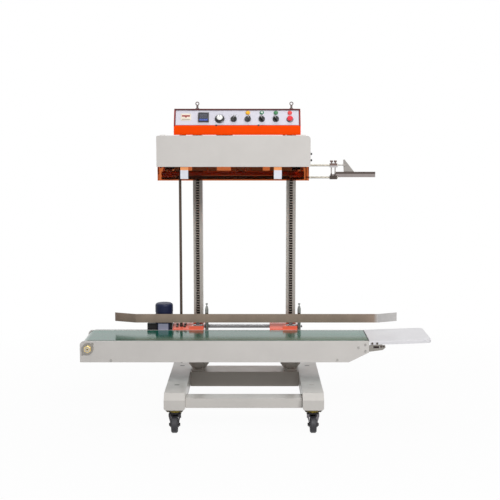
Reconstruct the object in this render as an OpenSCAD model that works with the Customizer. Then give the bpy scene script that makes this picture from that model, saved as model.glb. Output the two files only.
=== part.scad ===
// Continuous band sealer for standing bags. A sealing head stands on two racked
// columns, and a belt conveyor is raised and lowered on the columns beneath it.
// +X runs towards the infeed tray, +Y towards the back and +Z up, in millimetres.
// "Middle" is the plane halfway between the two columns, and the origin lies on
// the floor at the centre of the whole machine's outline.

/* [Stand] */
// Distance between the centre lines of the legs
leg_spacing = 616; // [580:1:760]
// Length of each leg, front to back
leg_length = 660; // [540:1:800]
// Width of each leg
leg_w = 94; // [84:1:110]
// Height of each leg
leg_h = 72; // [60:1:90]
// Wall of the legs and beams
leg_wall = 3; // [2:0.5:5]
// Depth of the front cross beam
front_beam_d = 80; // [60:1:100]
// Height of the front cross beam
front_beam_h = 43; // [35:1:55]
// Depth of the beam that carries the columns
column_beam_d = 125; // [120:1:160]

/* [Casters] */
// Height of the legs' underside above the floor
caster_h = 105; // [100:1:125]
// Diameter of each caster wheel
wheel_d = 75; // [62:1:80]
// Width of each caster wheel
wheel_w = 30; // [24:1:36]
// Distance from a caster's swivel axis to its axle
caster_trail = 30; // [24:1:36]
// Angle at which the right rear caster is parked
parked_swivel = 25; // [0:1:45]

/* [Columns] */
// Distance between the centre lines of the columns
column_spacing = 444; // [400:1:520]
// Width of each column
column_w = 44; // [38:1:54]
// Depth of each column
column_d = 60; // [50:1:72]
// Height of the column tops above the floor
column_top = 1434; // [1420:1:1700]
// Tooth pitch of the racks
rack_pitch = 12; // [10:0.5:14]
// Width of the racks
rack_w = 14; // [10:1:18]
// Number of teeth on each lift pinion
pinion_teeth = 12; // [10:1:14]
// Diameter of the lift shaft
lift_shaft_d = 19; // [15:1:22]

/* [Conveyor] */
// Reach of the conveyor to the left of the middle
conveyor_left = 738; // [620:1:900]
// Reach of the conveyor to the right of the middle
conveyor_right = 562; // [480:1:680]
// Width over the side frames
conveyor_w = 248; // [220:1:300]
// Height of the side frames
conveyor_h = 97; // [90:1:120]
// Height of the side frames' underside above the floor
conveyor_z = 299; // [285:1:340]
// Thickness of the side frames
frame_sheet = 4; // [3:0.5:6]
// Diameter of the drive roller
drive_roller_d = 66; // [56:1:76]
// Diameter of the tail roller
tail_roller_d = 30; // [28:1:40]
// Thickness of the conveyor belt
belt_t = 2; // [1.5:0.5:3]
// Length of the infeed tray
tray_length = 279; // [220:1:340]
// Width of the infeed tray
tray_w = 265; // [240:1:320]
// Upward tilt of the infeed tray
tray_tilt = 2; // [0:0.5:4]
// Height of the guide rail's strip
rail_h = 41; // [30:1:60]

/* [Drive] */
// Diameter of the upright drive post
post_d = 12.6; // [10:0.2:16]
// Diameter of the motor
motor_d = 84; // [70:1:90]
// Height of the motor
motor_h = 92; // [80:1:140]

/* [Head] */
// Height of the cover's lower edge above the floor
head_z = 1175; // [1160:1:1220]
// Height of the front cover
cover_h = 137; // [125:1:150]
// Reach of the cover to the left of the middle
cover_left = 387; // [380:1:440]
// Reach of the cover to the right of the middle
cover_right = 295; // [290:1:360]
// Height of the shield below the cover
shield_drop = 61; // [50:1:66]
// Radius over each sealing band at its wheels
band_r = 35; // [30:1:36]
// Width of each sealing band
band_w = 15; // [10:1:18]
// Space for the bag film between the sealing bands
film_gap = 1; // [0.6:0.1:2]
// Diameter of the spindles
spindle_d = 14; // [12:1:16]
// Furthest that the front cover swings open
cover_swing = 80; // [60:1:80]

/* [Control box] */
// Reach of the control box to the left of the middle
box_left = 317; // [300:1:330]
// Reach of the control box to the right of the middle
box_right = 255.5; // [245:0.5:262]
// Height of the upright strip under the panel
box_strip = 39; // [30:1:50]
// Length of the tilted front that holds the panel
box_slope = 91; // [88:1:110]
// Distance between neighbouring controls
control_pitch = 63.5; // [60:0.5:66]

/* [Clearances] */
// Radial clearance of shafts and pins in their bores
running_gap = 0.05; // [0.03:0.01:0.1]
// Gap between faces that pass each other
gap = 0.3; // [0.2:0.05:0.5]

/* [Hidden] */
$fn = 64;

// Colours
paint_grey = [0.80, 0.78, 0.76];
orange_paint = [1.0, 0.32, 0.05];
dark_steel = [0.22, 0.22, 0.23];
bright_steel = [0.72, 0.72, 0.74];
black_part = [0.07, 0.07, 0.08];
belt_green = [0.10, 0.36, 0.27];
motor_blue = [0.12, 0.16, 0.30];
amber = [0.55, 0.24, 0.08, 0.6];

// Stand
leg_end = leg_length / 2;
leg_top = caster_h + leg_h;
leg_nose_drop = 27;
leg_nose_run = 28;
leg_corner = 7;
leg_slot_y = [-161, 204];
leg_slot_l = 24;
leg_slot_w = 12;
beam_half = (leg_spacing - leg_w) / 2;
front_beam_y = -leg_end + 33;
front_beam_z = caster_h + 2;

// Columns
column_y = 113;
column_wall = 3;
column_back = column_y + column_d;
column_beam_y = column_y + column_d / 2 - column_beam_d / 2;
foot_t = 8;
foot_w = column_w + 20;
foot_d = 106;
foot_margin = 10;
gusset_h = 37;
wing = 26;
eye_r = 9.5;
eye_hole_r = 5;
eye_t = 7;
eye_rise = 24;

// Casters: front ones trail forwards and rear ones backwards
swivel_y = leg_end - 45;
plate_t = 4;
plate_w = 76;
plate_d = 84;
ring_t = 8;
ring_r = 24;
kingpin_r = 6;
axle_r = 4;
cheek_t = 3;
cheek_gap = 1.8;
hood_half = 27.5;
swivel_z = caster_h - plate_t - plate_t - ring_t;

// Racks and pinions. The pressure angle and short teeth suit few teeth.
lift_y = 80;
lift_z = conveyor_z + 103;
pitch_r = rack_pitch * pinion_teeth / (2 * PI);
pressure_angle = 25;
tooth_up = rack_pitch * 0.255;
tooth_down = rack_pitch * 0.305;
backlash = 0.4;
pinion_w = 16;
rack_line_y = lift_y + pitch_r;
rack_base = leg_top + foot_t + gusset_h;
rack_top = head_z - 15;

// Conveyor
conveyor_back = 18;
conveyor_front = conveyor_back - conveyor_w;
belt_top = conveyor_z + conveyor_h + 1;
lip_w = 13;
lip_t = 3;
frame_corner = 20;
belt_edge = lip_w + 2;
belt_y0 = conveyor_front + belt_edge;
belt_y1 = conveyor_back - belt_edge;
drive_r = drive_roller_d / 2;
tail_r = tail_roller_d / 2;
drive_x = -conveyor_left + 1 + belt_t + gap + drive_r;
drive_z = belt_top - belt_t - gap - drive_r;
tail_x = conveyor_right - 4 - belt_t - gap - tail_r;
tail_z = belt_top - belt_t - gap - tail_r;
drive_axle_r = 10;
tail_axle_r = 8;
bed_t = 5;
bevel_run = 90;
bevel_rise = 44;
tray_gap = 2;
tray_t = 3;
tray_lip = 14.5;
tray_left_z = belt_top - 4;
tray_right = conveyor_right + tray_gap
    + tray_length * cos(tray_tilt) + tray_lip * sin(tray_tilt);
shift_x = (conveyor_left - tray_right) / 2;

// Guide rail and its posts
rail_y = 8;
rail_t = 2;
rail_z = belt_top + 36;
rail_flare = 40;
rail_x = [-conveyor_left + 123, -conveyor_left + 225,
          conveyor_right + 68, conveyor_right + 162];
rail_arm_r = 5;
rail_arm_l = 100;
rail_post_r = 8;
rail_post_y = conveyor_back + rail_post_r + 1.5;
rail_post_x = [(column_w - column_spacing) / 2 + 22, (column_w + column_spacing) / 2 + 15];
rail_post_top = belt_top + 98;
rail_travel = 60;

// Carriage
bracket_t = 6;
bracket_y = conveyor_back;
bracket_z = conveyor_z + 6;
lip_low = lift_z + 12;
plate_top = belt_top + 3;
hood_t = 5;
hood_low = lift_z - 12;
hood_crest = lift_z + 14.5;
hood_back = lift_y + 32;
bracket_reach = [118, 102];
lip_left = 40;
guide_bar_t = 6;
rack_clear = 1;

// Drive
post_r = post_d / 2;
post_x = -300;
post_y = 46;
post_base = conveyor_z - 67;
gear_x0 = -461;
gear_x1 = -343;
gear_y = [conveyor_back + 16, conveyor_back + 86];
gear_z = [conveyor_z + 31, conveyor_z + 125];
motor_x = -383;
motor_y = (gear_y[0] + gear_y[1]) / 2;
sprocket_r = 24;
sprocket_x = gear_x0 + 21;
sprocket_z = drive_z;
sprocket_shaft_r = 8;
chain_y = conveyor_back + 5;
chain_w = 6;
chain_t = 6;
chain_gap = 1;
chain_cover_r = sprocket_r + gap + chain_t + chain_gap;
chain_cover_t = 1.5;
chain_cover_y = chain_y + chain_w + 2.5;

// Head
seal_y = -105;
band_t = 1.6;
spindle_r = spindle_d / 2;
spindle_offset = band_r + film_gap / 2;
spindle_left = -cover_left + 52;
spindle_right = cover_right - 60;
base_z = head_z + 5;
base_t = 10;
cover_front = -190;
cover_sheet = 2;
cover_top = head_z + cover_h;
cover_side_d = 53;
cover_top_back = -106;
shield_t = 3;
shield_bottom = head_z - shield_drop;
hinge_y = -100;
hinge_z = cover_top - 3;
hinge_pin_r = 3;
hinge_r = 6;
cheek_x = [-cover_left + 7, cover_right - 14];
cheek_plate_t = 4;
head_top_z = cover_top - 10;
head_back_y = 74;
base_y = [-175, head_back_y];
back_windows = [[-342, -331], [-266, -245], [-129, -58], [87, 120], [223, 262]];
wheel_land_r = band_r - band_t - gap;
band_z = shield_bottom + 22;
guide_band_z = shield_bottom + 4;
guide_band_w = 10;
gear_teeth = 28;
gear_module = 2 * spindle_offset / gear_teeth;
gear_level = base_z + base_t + 16;
gear_w = 12;
pulley_r = 22;
pulley_level = gear_level + gear_w + 8;
pulley_w = 12;
spindle_top = pulley_level + pulley_w + 5;

// Control box. The panel leans back, and its own frame has X to the right,
// Y up the slope and Z out of the panel.
panel_pitch = 60;
box_z = cover_top + 2;
box_front = -90;
box_back = 100;
box_sheet = 2;
panel_t = 3;
panel_margin = 5;
slope_z = box_z + box_strip;
box_top = slope_z + box_slope * sin(panel_pitch);
box_top_y = box_front + box_slope * cos(panel_pitch);
control_row = 37;
dial_row = 38.5;
lamp_row = 69.5;
dial_x = -110;
controller_x = -183;
controller_w = 48;
knob_shaft_r = 3;
button_stem_r = 6;
button_travel = 4;
lamp_r = 8;

// Infeed guide
rod_r = 4.5;
rod_y = -128;
rod_z = [guide_band_z + 7, head_z + 4];
clamp_x = cover_right + 90;
clamp_w = 33;
rod_end = clamp_x + clamp_w + 4;
infeed_x = [clamp_x + 24, clamp_x + 207];
infeed_slot = 10;
infeed_h = 24;
infeed_travel = 50;

// ---------------------------------------------------------------- helpers

// Puts a piece, drawn about the machine's middle, on the origin
module placed() translate([shift_x, 0, 0]) children();

// A box from its lowest to its highest corner
module span(a, b) translate(a) cube([b[0] - a[0], b[1] - a[1], b[2] - a[2]]);

// Round bars along each axis, from one coordinate to another
module bar_x(x0, x1, y, z, r)
    translate([x0, y, z]) rotate([0, 90, 0]) cylinder(r = r, h = x1 - x0);
module bar_y(x, y0, y1, z, r)
    translate([x, y1, z]) rotate([90, 0, 0]) cylinder(r = r, h = y1 - y0);
module bar_z(x, y, z0, z1, r) translate([x, y, z0]) cylinder(r = r, h = z1 - z0);

// Extrudes an outline drawn in (Y, Z) along X
module along_x(x0, x1)
    translate([x0, 0, 0]) rotate([90, 0, 90]) linear_extrude(x1 - x0) children();

// Extrudes an outline drawn in (X, Z) along Y
module along_y(y0, y1)
    translate([0, y1, 0]) rotate([90, 0, 0]) linear_extrude(y1 - y0) children();

// Hexagonal heads, across flats s, pointing to the front or up
module hex_front(x, y, z, s, h)
    translate([x, y, z]) rotate([90, 0, 0]) cylinder(d = s / cos(30), h = h, $fn = 6);
module hex_up(x, y, z, s, h) translate([x, y, z]) cylinder(d = s / cos(30), h = h, $fn = 6);

// Rectangle with two rounded upper corners
module round_top(w, h, left_r, right_r) {
    difference() {
        square([w, h]);
        translate([-1, h - left_r]) square([left_r + 1, left_r + 1]);
        translate([w - right_r, h - right_r]) square([right_r + 1, right_r + 1]);
    }
    translate([left_r, h - left_r]) circle(left_r);
    translate([w - right_r, h - right_r]) circle(right_r);
}

// Outline of a belt's outside round two pulleys, each [x, y, r]
module loop_outline(a, b) {
    d = [b[0] - a[0], b[1] - a[1]];
    lean = acos((a[2] - b[2]) / norm(d));
    heading = atan2(d[1], d[0]);
    up = [cos(heading + lean), sin(heading + lean)];
    down = [cos(heading - lean), sin(heading - lean)];
    ca = [a[0], a[1]];
    cb = [b[0], b[1]];
    translate(ca) circle(a[2]);
    translate(cb) circle(b[2]);
    polygon([ca + a[2] * up, ca + a[2] * down, cb + b[2] * down, cb + b[2] * up]);
}

// Outline of a belt of thickness t, whose inside has the radii given
module belt_outline(a, b, t) {
    difference() {
        loop_outline([a[0], a[1], a[2] + t], [b[0], b[1], b[2] + t]);
        loop_outline(a, b);
    }
}

// Involute gear outline with a tooth centred on the outline's own X axis
function polar(r, a) = [r * cos(a), r * sin(a)];
function involute_angle(r, base) = r <= base ? 0 :
    let (t = sqrt(r * r / (base * base) - 1)) t * 180 / PI - atan(t);
function gear_points(teeth, r, up, down, angle, play) = let (
    base = r * cos(angle),
    half = 90 / teeth - play / 2 / r * 180 / PI,
    steps = 5,
    first = max(base, r - down),
    radii = concat([r - down], [for (i = [0:steps]) first + (r + up - first) * i / steps]),
    lean = [for (q = radii) half + involute_angle(r, base) - involute_angle(q, base)])
    [for (k = [0:teeth - 1]) each concat(
        [for (i = [0:steps + 1]) polar(radii[i], 360 * k / teeth - lean[i])],
        [for (i = [steps + 1:-1:0]) polar(radii[i], 360 * k / teeth + lean[i])])];

// ---------------------------------------------------------------- stand

module leg_outline(inset) {
    y = leg_end - inset;
    low = caster_h + inset;
    high = leg_top - inset;
    nose = high - leg_nose_drop;
    polygon([
        [-y, low], [-y, nose], [-y + leg_nose_run, high],
        [y - leg_nose_run, high], [y, nose], [y, low]]);
}

module leg(x) {
    half = leg_w / 2;
    difference() {
        intersection() {
            along_x(x - half, x + half) leg_outline(0);
            along_y(-leg_end, leg_end) polygon([
                [x - half, leg_top], [x - half, caster_h + leg_corner],
                [x - half + leg_corner, caster_h], [x + half - leg_corner, caster_h],
                [x + half, caster_h + leg_corner], [x + half, leg_top]]);
        }
        along_x(x - half + leg_wall, x + half - leg_wall) difference() {
            leg_outline(leg_wall);
            translate([-leg_end, caster_h]) square([leg_length, leg_corner + 1]);
        }
        for (y = leg_slot_y) for (side = [-1, 1])
            bar_z(x + side * (leg_slot_l - leg_slot_w) / 2, y,
                  leg_top - leg_wall - 1, leg_top + 1, leg_slot_w / 2);
        for (y = leg_slot_y)
            span([x - (leg_slot_l - leg_slot_w) / 2, y - leg_slot_w / 2, leg_top - leg_wall - 1],
                 [x + (leg_slot_l - leg_slot_w) / 2, y + leg_slot_w / 2, leg_top + 1]);
    }
}

module leg_left() placed() color(paint_grey) leg(-leg_spacing / 2);
module leg_right() placed() color(paint_grey) leg(leg_spacing / 2);

module tube_x(half, y0, z0, d, h, wall) {
    difference() {
        span([-half, y0, z0], [half, y0 + d, z0 + h]);
        span([-half - 1, y0 + wall, z0 + wall], [half + 1, y0 + d - wall, z0 + h - wall]);
    }
}

module front_beam() placed() color(paint_grey)
    tube_x(beam_half, front_beam_y, front_beam_z, front_beam_d, front_beam_h, leg_wall);
module column_beam() placed() color(paint_grey)
    tube_x(beam_half, column_beam_y, caster_h, column_beam_d, leg_h, leg_wall);

// ---------------------------------------------------------------- casters

// Draws its children at each caster's swivel axis
module at_swivel(side, end) translate([side * leg_spacing / 2, end * swivel_y, 0]) children();

module caster_plates() placed() for (side = [-1, 1]) for (end = [-1, 1]) at_swivel(side, end) {
    top = caster_h - plate_t;
    color(dark_steel) difference() {
        union() {
            span([-plate_w / 2, -plate_d / 2, top], [plate_w / 2, plate_d / 2, caster_h]);
            bar_z(0, 0, top - plate_t, top, ring_r - 2);
            for (a = [-1, 1]) for (b = [-1, 1])
                hex_up(a * (plate_w / 2 - 9), b * (plate_d / 2 - 9), top - 5, 12, 5);
        }
        bar_z(0, 0, top - plate_t - 1, caster_h + 1, kingpin_r + running_gap);
    }
    color("gold") difference() {
        bar_z(0, 0, swivel_z, top - plate_t, ring_r);
        bar_z(0, 0, swivel_z - 1, caster_h, kingpin_r + running_gap);
    }
}

// A fork about its swivel axis, trailing towards -Y
module fork() {
    head = swivel_z - gap;
    axle_z = wheel_d / 2;
    inner = wheel_w / 2 + cheek_gap;
    outer = inner + cheek_t;
    step_z = wheel_d * 0.68;
    apron_z = wheel_d * 0.75;
    bar_z(0, 0, head - 7, head, hood_half);
    bar_z(0, 0, head - 1, caster_h - 2, kingpin_r);
    intersection() {
        along_x(-hood_half, hood_half) {
            polygon([[-24, head - 6], [24, head - 6], [18, head - 22],
                     [-caster_trail + 9, axle_z - 8], [-caster_trail - 11, axle_z - 2],
                     [-caster_trail - 9, axle_z + 14]]);
            translate([-caster_trail, axle_z]) circle(12);
        }
        along_y(-2 * caster_trail - 20, 40) for (side = [-1, 1]) scale([side, 1])
            polygon([[inner, head - 6], [hood_half, head - 6], [hood_half, head - 14],
                     [outer, step_z], [outer, 10], [inner, 10]]);
    }
    difference() {
        bar_z(0, 0, apron_z, head - 6, hood_half);
        bar_z(0, 0, apron_z - 1, head - 7, hood_half - cheek_t);
        span([-hood_half - 1, -hood_half - 1, apron_z - 1], [hood_half + 1, 8, head - 7]);
    }
    bar_x(-outer, outer, -caster_trail, axle_z, axle_r);
    for (side = [-1, 1]) translate([side > 0 ? outer : -outer - 5, -caster_trail, axle_z])
        rotate([0, 90, 0]) cylinder(d = 15, h = 5, $fn = 6);
}

module wheel() translate([0, -caster_trail, wheel_d / 2]) rotate([0, 90, 0]) {
    half = wheel_w / 2;
    r = wheel_d / 2;
    bore = axle_r + running_gap;
    rotate_extrude() polygon([
        [bore, -half], [r - 16, -half], [r - 14, -half + 4], [r - 9, -half + 4],
        [r - 8, -half + 1], [r - 4, -half + 1], [r, -half + 6], [r, half - 6],
        [r - 4, half - 1], [r - 8, half - 1], [r - 9, half - 4], [r - 14, half - 4],
        [r - 16, half], [bore, half]]);
}

// Front casters trail forwards, rear ones backwards, one parked at an angle
module caster(side, end) placed() at_swivel(side, end)
    rotate([0, 0, end < 0 ? 0 : (side < 0 ? 180 : 180 - parked_swivel)]) children();

module caster_fork_fl() caster(-1, -1) color(dark_steel) fork();
module caster_fork_fr() caster(1, -1) color(dark_steel) fork();
module caster_fork_rl() caster(-1, 1) color(dark_steel) fork();
module caster_fork_rr() caster(1, 1) color(dark_steel) fork();
module caster_wheel_fl() caster(-1, -1) color(black_part) wheel();
module caster_wheel_fr() caster(1, -1) color(black_part) wheel();
module caster_wheel_rl() caster(-1, 1) color(black_part) wheel();
module caster_wheel_rr() caster(1, 1) color(black_part) wheel();

// ---------------------------------------------------------------- columns

module column(x) {
    difference() {
        span([x - column_w / 2, column_y, leg_top + foot_t],
             [x + column_w / 2, column_back, column_top]);
        span([x - column_w / 2 + column_wall, column_y + column_wall, leg_top + foot_t],
             [x + column_w / 2 - column_wall, column_back - column_wall, column_top - 6]);
    }
    mid_y = column_y + column_d / 2;
    span([x - foot_w / 2, mid_y - foot_d / 2, leg_top],
         [x + foot_w / 2, mid_y + foot_d / 2, leg_top + foot_t]);
    for (side = [-1, 1]) for (end = [-1, 1])
        hex_up(x + side * (foot_w / 2 - foot_margin), mid_y + end * (foot_d / 2 - foot_margin),
               leg_top + foot_t, 15, 7);
    for (y = [column_y + 6, column_back - 12]) for (side = [-1, 1]) along_y(y, y + 6)
        translate([x + side * column_w / 2, leg_top + foot_t]) scale([side, 1])
            polygon([[0, 0], [7, 0], [wing, gusset_h - 12], [wing, gusset_h - 5], [0, gusset_h - 5]]);
    shelf_z = leg_top + foot_t + gusset_h - 6;
    for (edge = [x - column_w / 2 - wing, x + column_w / 2])
        span([edge, column_y + 4, shelf_z], [edge + wing, column_back - 4, shelf_z + 3]);
}

module columns() placed() color(paint_grey) for (side = [-1, 1]) column(side * column_spacing / 2);

module rack_outline() {
    half = rack_pitch / 4 - backlash / 4;
    tip = half - tooth_up * tan(pressure_angle);
    root = half + tooth_down * tan(pressure_angle);
    first = ceil((rack_base - lift_z) / rack_pitch + 0.5);
    last = floor((rack_top - lift_z) / rack_pitch - 0.5);
    low = rack_line_y - tooth_up;
    high = rack_line_y + tooth_down;
    centres = [for (k = [first:last - 1]) lift_z + (k + 0.5) * rack_pitch];
    polygon(concat(
        [[column_y, rack_base], [high, rack_base]],
        [for (z = centres) each [[high, z - root], [low, z - tip], [low, z + tip], [high, z + root]]],
        [[high, rack_top], [column_y, rack_top]]));
}

module racks() placed() color(dark_steel) for (side = [-1, 1]) {
    x = side * column_spacing / 2;
    along_x(x - rack_w / 2, x + rack_w / 2) rack_outline();
}

module lifting_eyes() placed() color(bright_steel) for (side = [-1, 1]) {
    x = side * column_spacing / 2;
    y = column_y + column_d / 2;
    z = column_top + eye_rise;
    bar_z(x, y, column_top, column_top + 3, 9);
    difference() {
        union() {
            bar_z(x, y, column_top + 2, z - eye_hole_r - 1, 5);
            bar_y(x, y - eye_t / 2, y + eye_t / 2, z, eye_r);
        }
        bar_y(x, y - eye_t, y + eye_t, z, eye_hole_r);
    }
}

// ---------------------------------------------------------------- head

// The four spindle axes: left pair drives, right pair idles
spindle_axes = [for (x = [spindle_left, spindle_right]) for (side = [-1, 1])
    [x, seal_y + side * spindle_offset]];

module head_base() placed() color(dark_steel) difference() {
    union() {
        span([cheek_x[0] + cheek_plate_t, base_y[0], base_z],
             [cheek_x[1] - cheek_plate_t, base_y[1], base_z + base_t]);
        for (p = spindle_axes) bar_z(p[0], p[1], base_z - 20, base_z, spindle_r + 11);
        bar_z(post_x, post_y, base_z - 14, base_z, post_r + 9);
    }
    for (p = spindle_axes) bar_z(p[0], p[1], base_z - 30, base_z + 30, spindle_r + running_gap);
    bar_z(post_x, post_y, base_z - 30, base_z + 30, post_r + running_gap);
}

module hinge_lug(x0, x1) along_x(x0, x1) {
    translate([hinge_y, hinge_z]) circle(hinge_r);
    polygon([
        [hinge_y - 2, hinge_z - 3], [hinge_y + 12, hinge_z - 3],
        [hinge_y + 12, hinge_z + 3], [hinge_y, hinge_z + hinge_r]]);
}

module head_frame() placed() color(paint_grey) {
    top = head_top_z + cheek_plate_t;
    inner = [cheek_x[0] + cheek_plate_t, cheek_x[1] - cheek_plate_t];
    difference() {
        span([cheek_x[0], head_back_y, head_z - 45], [cheek_x[1], head_back_y + 6, top]);
        for (w = back_windows)
            span([w[0], head_back_y - 1, head_z - 35], [w[1], head_back_y + 7, head_z - 9]);
    }
    span([cheek_x[0], hinge_y + 2, head_z - 10], [inner[0], head_back_y, top]);
    span([inner[1], hinge_y + 2, head_z - 10], [cheek_x[1], head_back_y, top]);
    span([inner[1], rod_y - 14, head_z - 10], [cheek_x[1], hinge_y + 2, head_z + 25]);
    span([inner[1], rod_y - 14, shield_bottom - 2], [cheek_x[1], rod_y + 12, head_z - 10]);
    span([inner[0], hinge_y + hinge_r + 1, head_top_z], [inner[1], head_back_y, top]);
    for (side = [-1, 1]) difference() {
        x = side * column_spacing / 2;
        span([x - 32, head_back_y + 6, base_z + 15], [x + 32, column_y, head_top_z - 5]);
        span([x - 26, head_back_y + 5, base_z + 21], [x + 26, column_y - 6, head_top_z - 11]);
    }
    for (x = [cheek_x[0] + 2, cheek_x[0] + 22, cheek_x[1] - 7, cheek_x[1] - 27]) hinge_lug(x, x + 5);
    bar_x(cheek_x[0], cheek_x[0] + 29, hinge_y, hinge_z, hinge_pin_r);
    bar_x(cheek_x[1] - 29, cheek_x[1], hinge_y, hinge_z, hinge_pin_r);
    for (x = [-box_left + 25, box_right - 45]) for (y = [box_front + 12, head_back_y - 25])
        span([x, y, top], [x + 20, y + 18, box_z]);
}

// Two spindles' bands, front and rear of the film
module band_pair(z, w) for (side = [-1, 1]) translate([0, 0, z]) linear_extrude(w)
    belt_outline([spindle_left, seal_y + side * spindle_offset, band_r - band_t],
                 [spindle_right, seal_y + side * spindle_offset, band_r - band_t], band_t);

module seal_belts() placed() color([0.72, 0.60, 0.42]) band_pair(band_z, band_w);
module guide_belts() placed() color(black_part) band_pair(guide_band_z, guide_band_w);

// Heating and cooling bars, in pairs that face each other across the bands
module seal_bar(x0, x1, side, fins) {
    face = film_gap / 2 + band_t + gap;
    mid = seal_y + side * (face + 5);
    difference() {
        span([x0, mid - 5, band_z - 2], [x1, mid + 5, band_z + band_w + 2]);
        if (fins) for (x = [x0 + 8:10:x1 - 12])
            span([x, side > 0 ? mid : mid - 6, band_z - 3],
                 [x + 4, side > 0 ? mid + 6 : mid, band_z + band_w + 3]);
    }
    for (x = [x0 + 20, x1 - 20]) bar_z(x, mid, band_z + band_w + 2, base_z, 4);
}

module seal_blocks() placed() color("goldenrod") for (side = [-1, 1]) {
    seal_bar(spindle_right - 225, spindle_right - 75, side, false);
    seal_bar(spindle_right - 420, spindle_right - 270, side, true);
}

module head_drive_belt() placed() color(black_part) translate([0, 0, pulley_level + 1])
    linear_extrude(pulley_w - 2)
        belt_outline([post_x, post_y, pulley_r + gap],
                     [spindle_axes[1][0], spindle_axes[1][1], pulley_r + gap], 2);

module spindle(p, phase, geared, driven) translate([p[0], p[1], 0]) {
    bar_z(0, 0, guide_band_z - 3, spindle_top, spindle_r);
    bar_z(0, 0, guide_band_z - 1, band_z + band_w + 1, wheel_land_r);
    bar_z(0, 0, guide_band_z + guide_band_w + gap, band_z - gap, wheel_land_r + 1);
    bar_z(0, 0, base_z + base_t + gap, base_z + base_t + 7, spindle_r + 5);
    if (geared) translate([0, 0, gear_level]) linear_extrude(gear_w) rotate(phase)
        polygon(gear_points(gear_teeth, spindle_offset, gear_module, gear_module * 1.2, 20, backlash));
    if (driven) bar_z(0, 0, pulley_level, pulley_level + pulley_w, pulley_r);
}

module drive_spindle_front() placed() color(bright_steel) spindle(spindle_axes[0], 90, true, false);
module drive_spindle_rear() placed() color(bright_steel)
    spindle(spindle_axes[1], 90 + 180 / gear_teeth, true, true);
module idle_spindle_front() placed() color(bright_steel) spindle(spindle_axes[2], 0, false, false);
module idle_spindle_rear() placed() color(bright_steel) spindle(spindle_axes[3], 0, false, false);

module drive_post() placed() color(dark_steel) {
    bar_z(post_x, post_y, post_base, spindle_top, post_r);
    bar_z(post_x, post_y, base_z + base_t + gap, base_z + base_t + 7, post_r + 5);
    bar_z(post_x, post_y, pulley_level, pulley_level + pulley_w, pulley_r);
}

// ---------------------------------------------------------------- guard

module cover_outline(inset) translate([-cover_left + inset, head_z - (inset > 0 ? 1 : 0)])
    round_top(cover_left + cover_right - 2 * inset, cover_h - inset + (inset > 0 ? 1 : 0),
              6 - inset, 17 - inset);

module guard_cover() placed() color(paint_grey) {
    side_back = cover_front + cover_side_d;
    difference() {
        along_y(cover_front, cover_top_back) cover_outline(0);
        along_y(cover_front + cover_sheet, cover_top_back + 1) cover_outline(cover_sheet);
        span([-cover_left - 1, side_back, head_z - 1], [cover_right + 1, 0, cover_top - 18]);
    }
    for (x = [cheek_x[0] + 7 + gap, cheek_x[1] - 22 + gap]) difference() {
        along_x(x, x + 15 - 2 * gap) {
            translate([hinge_y, hinge_z]) circle(hinge_r);
            polygon([[hinge_y, hinge_z - hinge_r], [hinge_y, hinge_z + 1],
                     [hinge_y - 14, hinge_z + 1], [hinge_y - 14, hinge_z - 1]]);
        }
        bar_x(x - 1, x + 20, hinge_y, hinge_z, hinge_pin_r + running_gap);
    }
}

module cover_knobs() placed() color(black_part) for (z = [head_z + 28, head_z + 56])
    translate([cover_right, cover_front + 30, z]) rotate([0, 90, 0]) {
        cylinder(r = 4, h = 3);
        translate([0, 0, 3]) cylinder(r1 = 6, r2 = 3.5, h = 6);
    }

module shield() placed() color(amber) {
    front = cover_front + cover_sheet;
    ends = [-cover_left + 4, cover_right - 6];
    top = head_z + 25;
    span([ends[0], front, shield_bottom], [ends[1], front + shield_t, top]);
    for (x = [ends[0], ends[1] - shield_t])
        span([x, front + shield_t, shield_bottom], [x + shield_t, cover_front + cover_side_d, top]);
}

// ---------------------------------------------------------------- control box

module box_outline(inset) {
    lean = inset * tan((90 - panel_pitch) / 2);
    polygon([
        [box_front + inset, box_z + inset],
        [box_front + inset, slope_z + lean],
        [box_top_y + inset * tan(panel_pitch / 2), box_top - inset],
        [box_back - inset, box_top - inset],
        [box_back - inset, box_z + inset]]);
}

// Moves children into the panel's own frame
module on_panel(x, up)
    translate([x, box_front, slope_z]) rotate([panel_pitch, 0, 0]) translate([0, up, 0]) children();

module control_box() placed() color(orange_paint) difference() {
    along_x(-box_left, box_right) box_outline(0);
    along_x(-box_left + box_sheet, box_right - box_sheet) box_outline(box_sheet);
    on_panel(0, 0) span([-box_left + 6.3, panel_margin, -box_sheet - 1],
                        [box_right - 6.5, box_slope - panel_margin, 5]);
}

knob_x = [for (k = [1:4]) dial_x + k * control_pitch];
lamp_x = [for (x = knob_x) x + control_pitch];
button_x = lamp_x[3];

module control_panel() placed() color([0.86, 0.86, 0.90]) on_panel(0, 0) {
    low = -box_sheet - panel_t;
    difference() {
        span([-box_left + 3, 2.5, low], [box_right - 3, box_slope - 2.5, -box_sheet]);
        for (x = knob_x) bar_z(x, control_row, low - 1, 1, knob_shaft_r + running_gap);
        bar_z(dial_x, dial_row, low - 1, 1, knob_shaft_r + running_gap);
        for (x = lamp_x) bar_z(x, lamp_row, low - 1, 1, lamp_r);
        bar_z(button_x, control_row, low - 1, 1, button_stem_r + running_gap);
        translate([controller_x - controller_w / 2 + 1.5, 22.5, low - 1])
            cube([controller_w - 3, controller_w - 3, 9]);
    }
    difference() {
        bar_z(button_x, control_row, -box_sheet, 0.2, 14);
        bar_z(button_x, control_row, -box_sheet - 1, 1, button_stem_r + running_gap);
    }
}

module temp_controller() placed() color(dark_steel) on_panel(controller_x, 21) {
    half = controller_w / 2;
    difference() {
        span([-half, 0, -box_sheet], [half, controller_w, 5]);
        span([-half + 4, 4, 3.5], [half - 4, controller_w - 4, 6]);
    }
    span([-half + 2, 2, -62], [half - 2, controller_w - 2, -box_sheet]);
}

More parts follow.
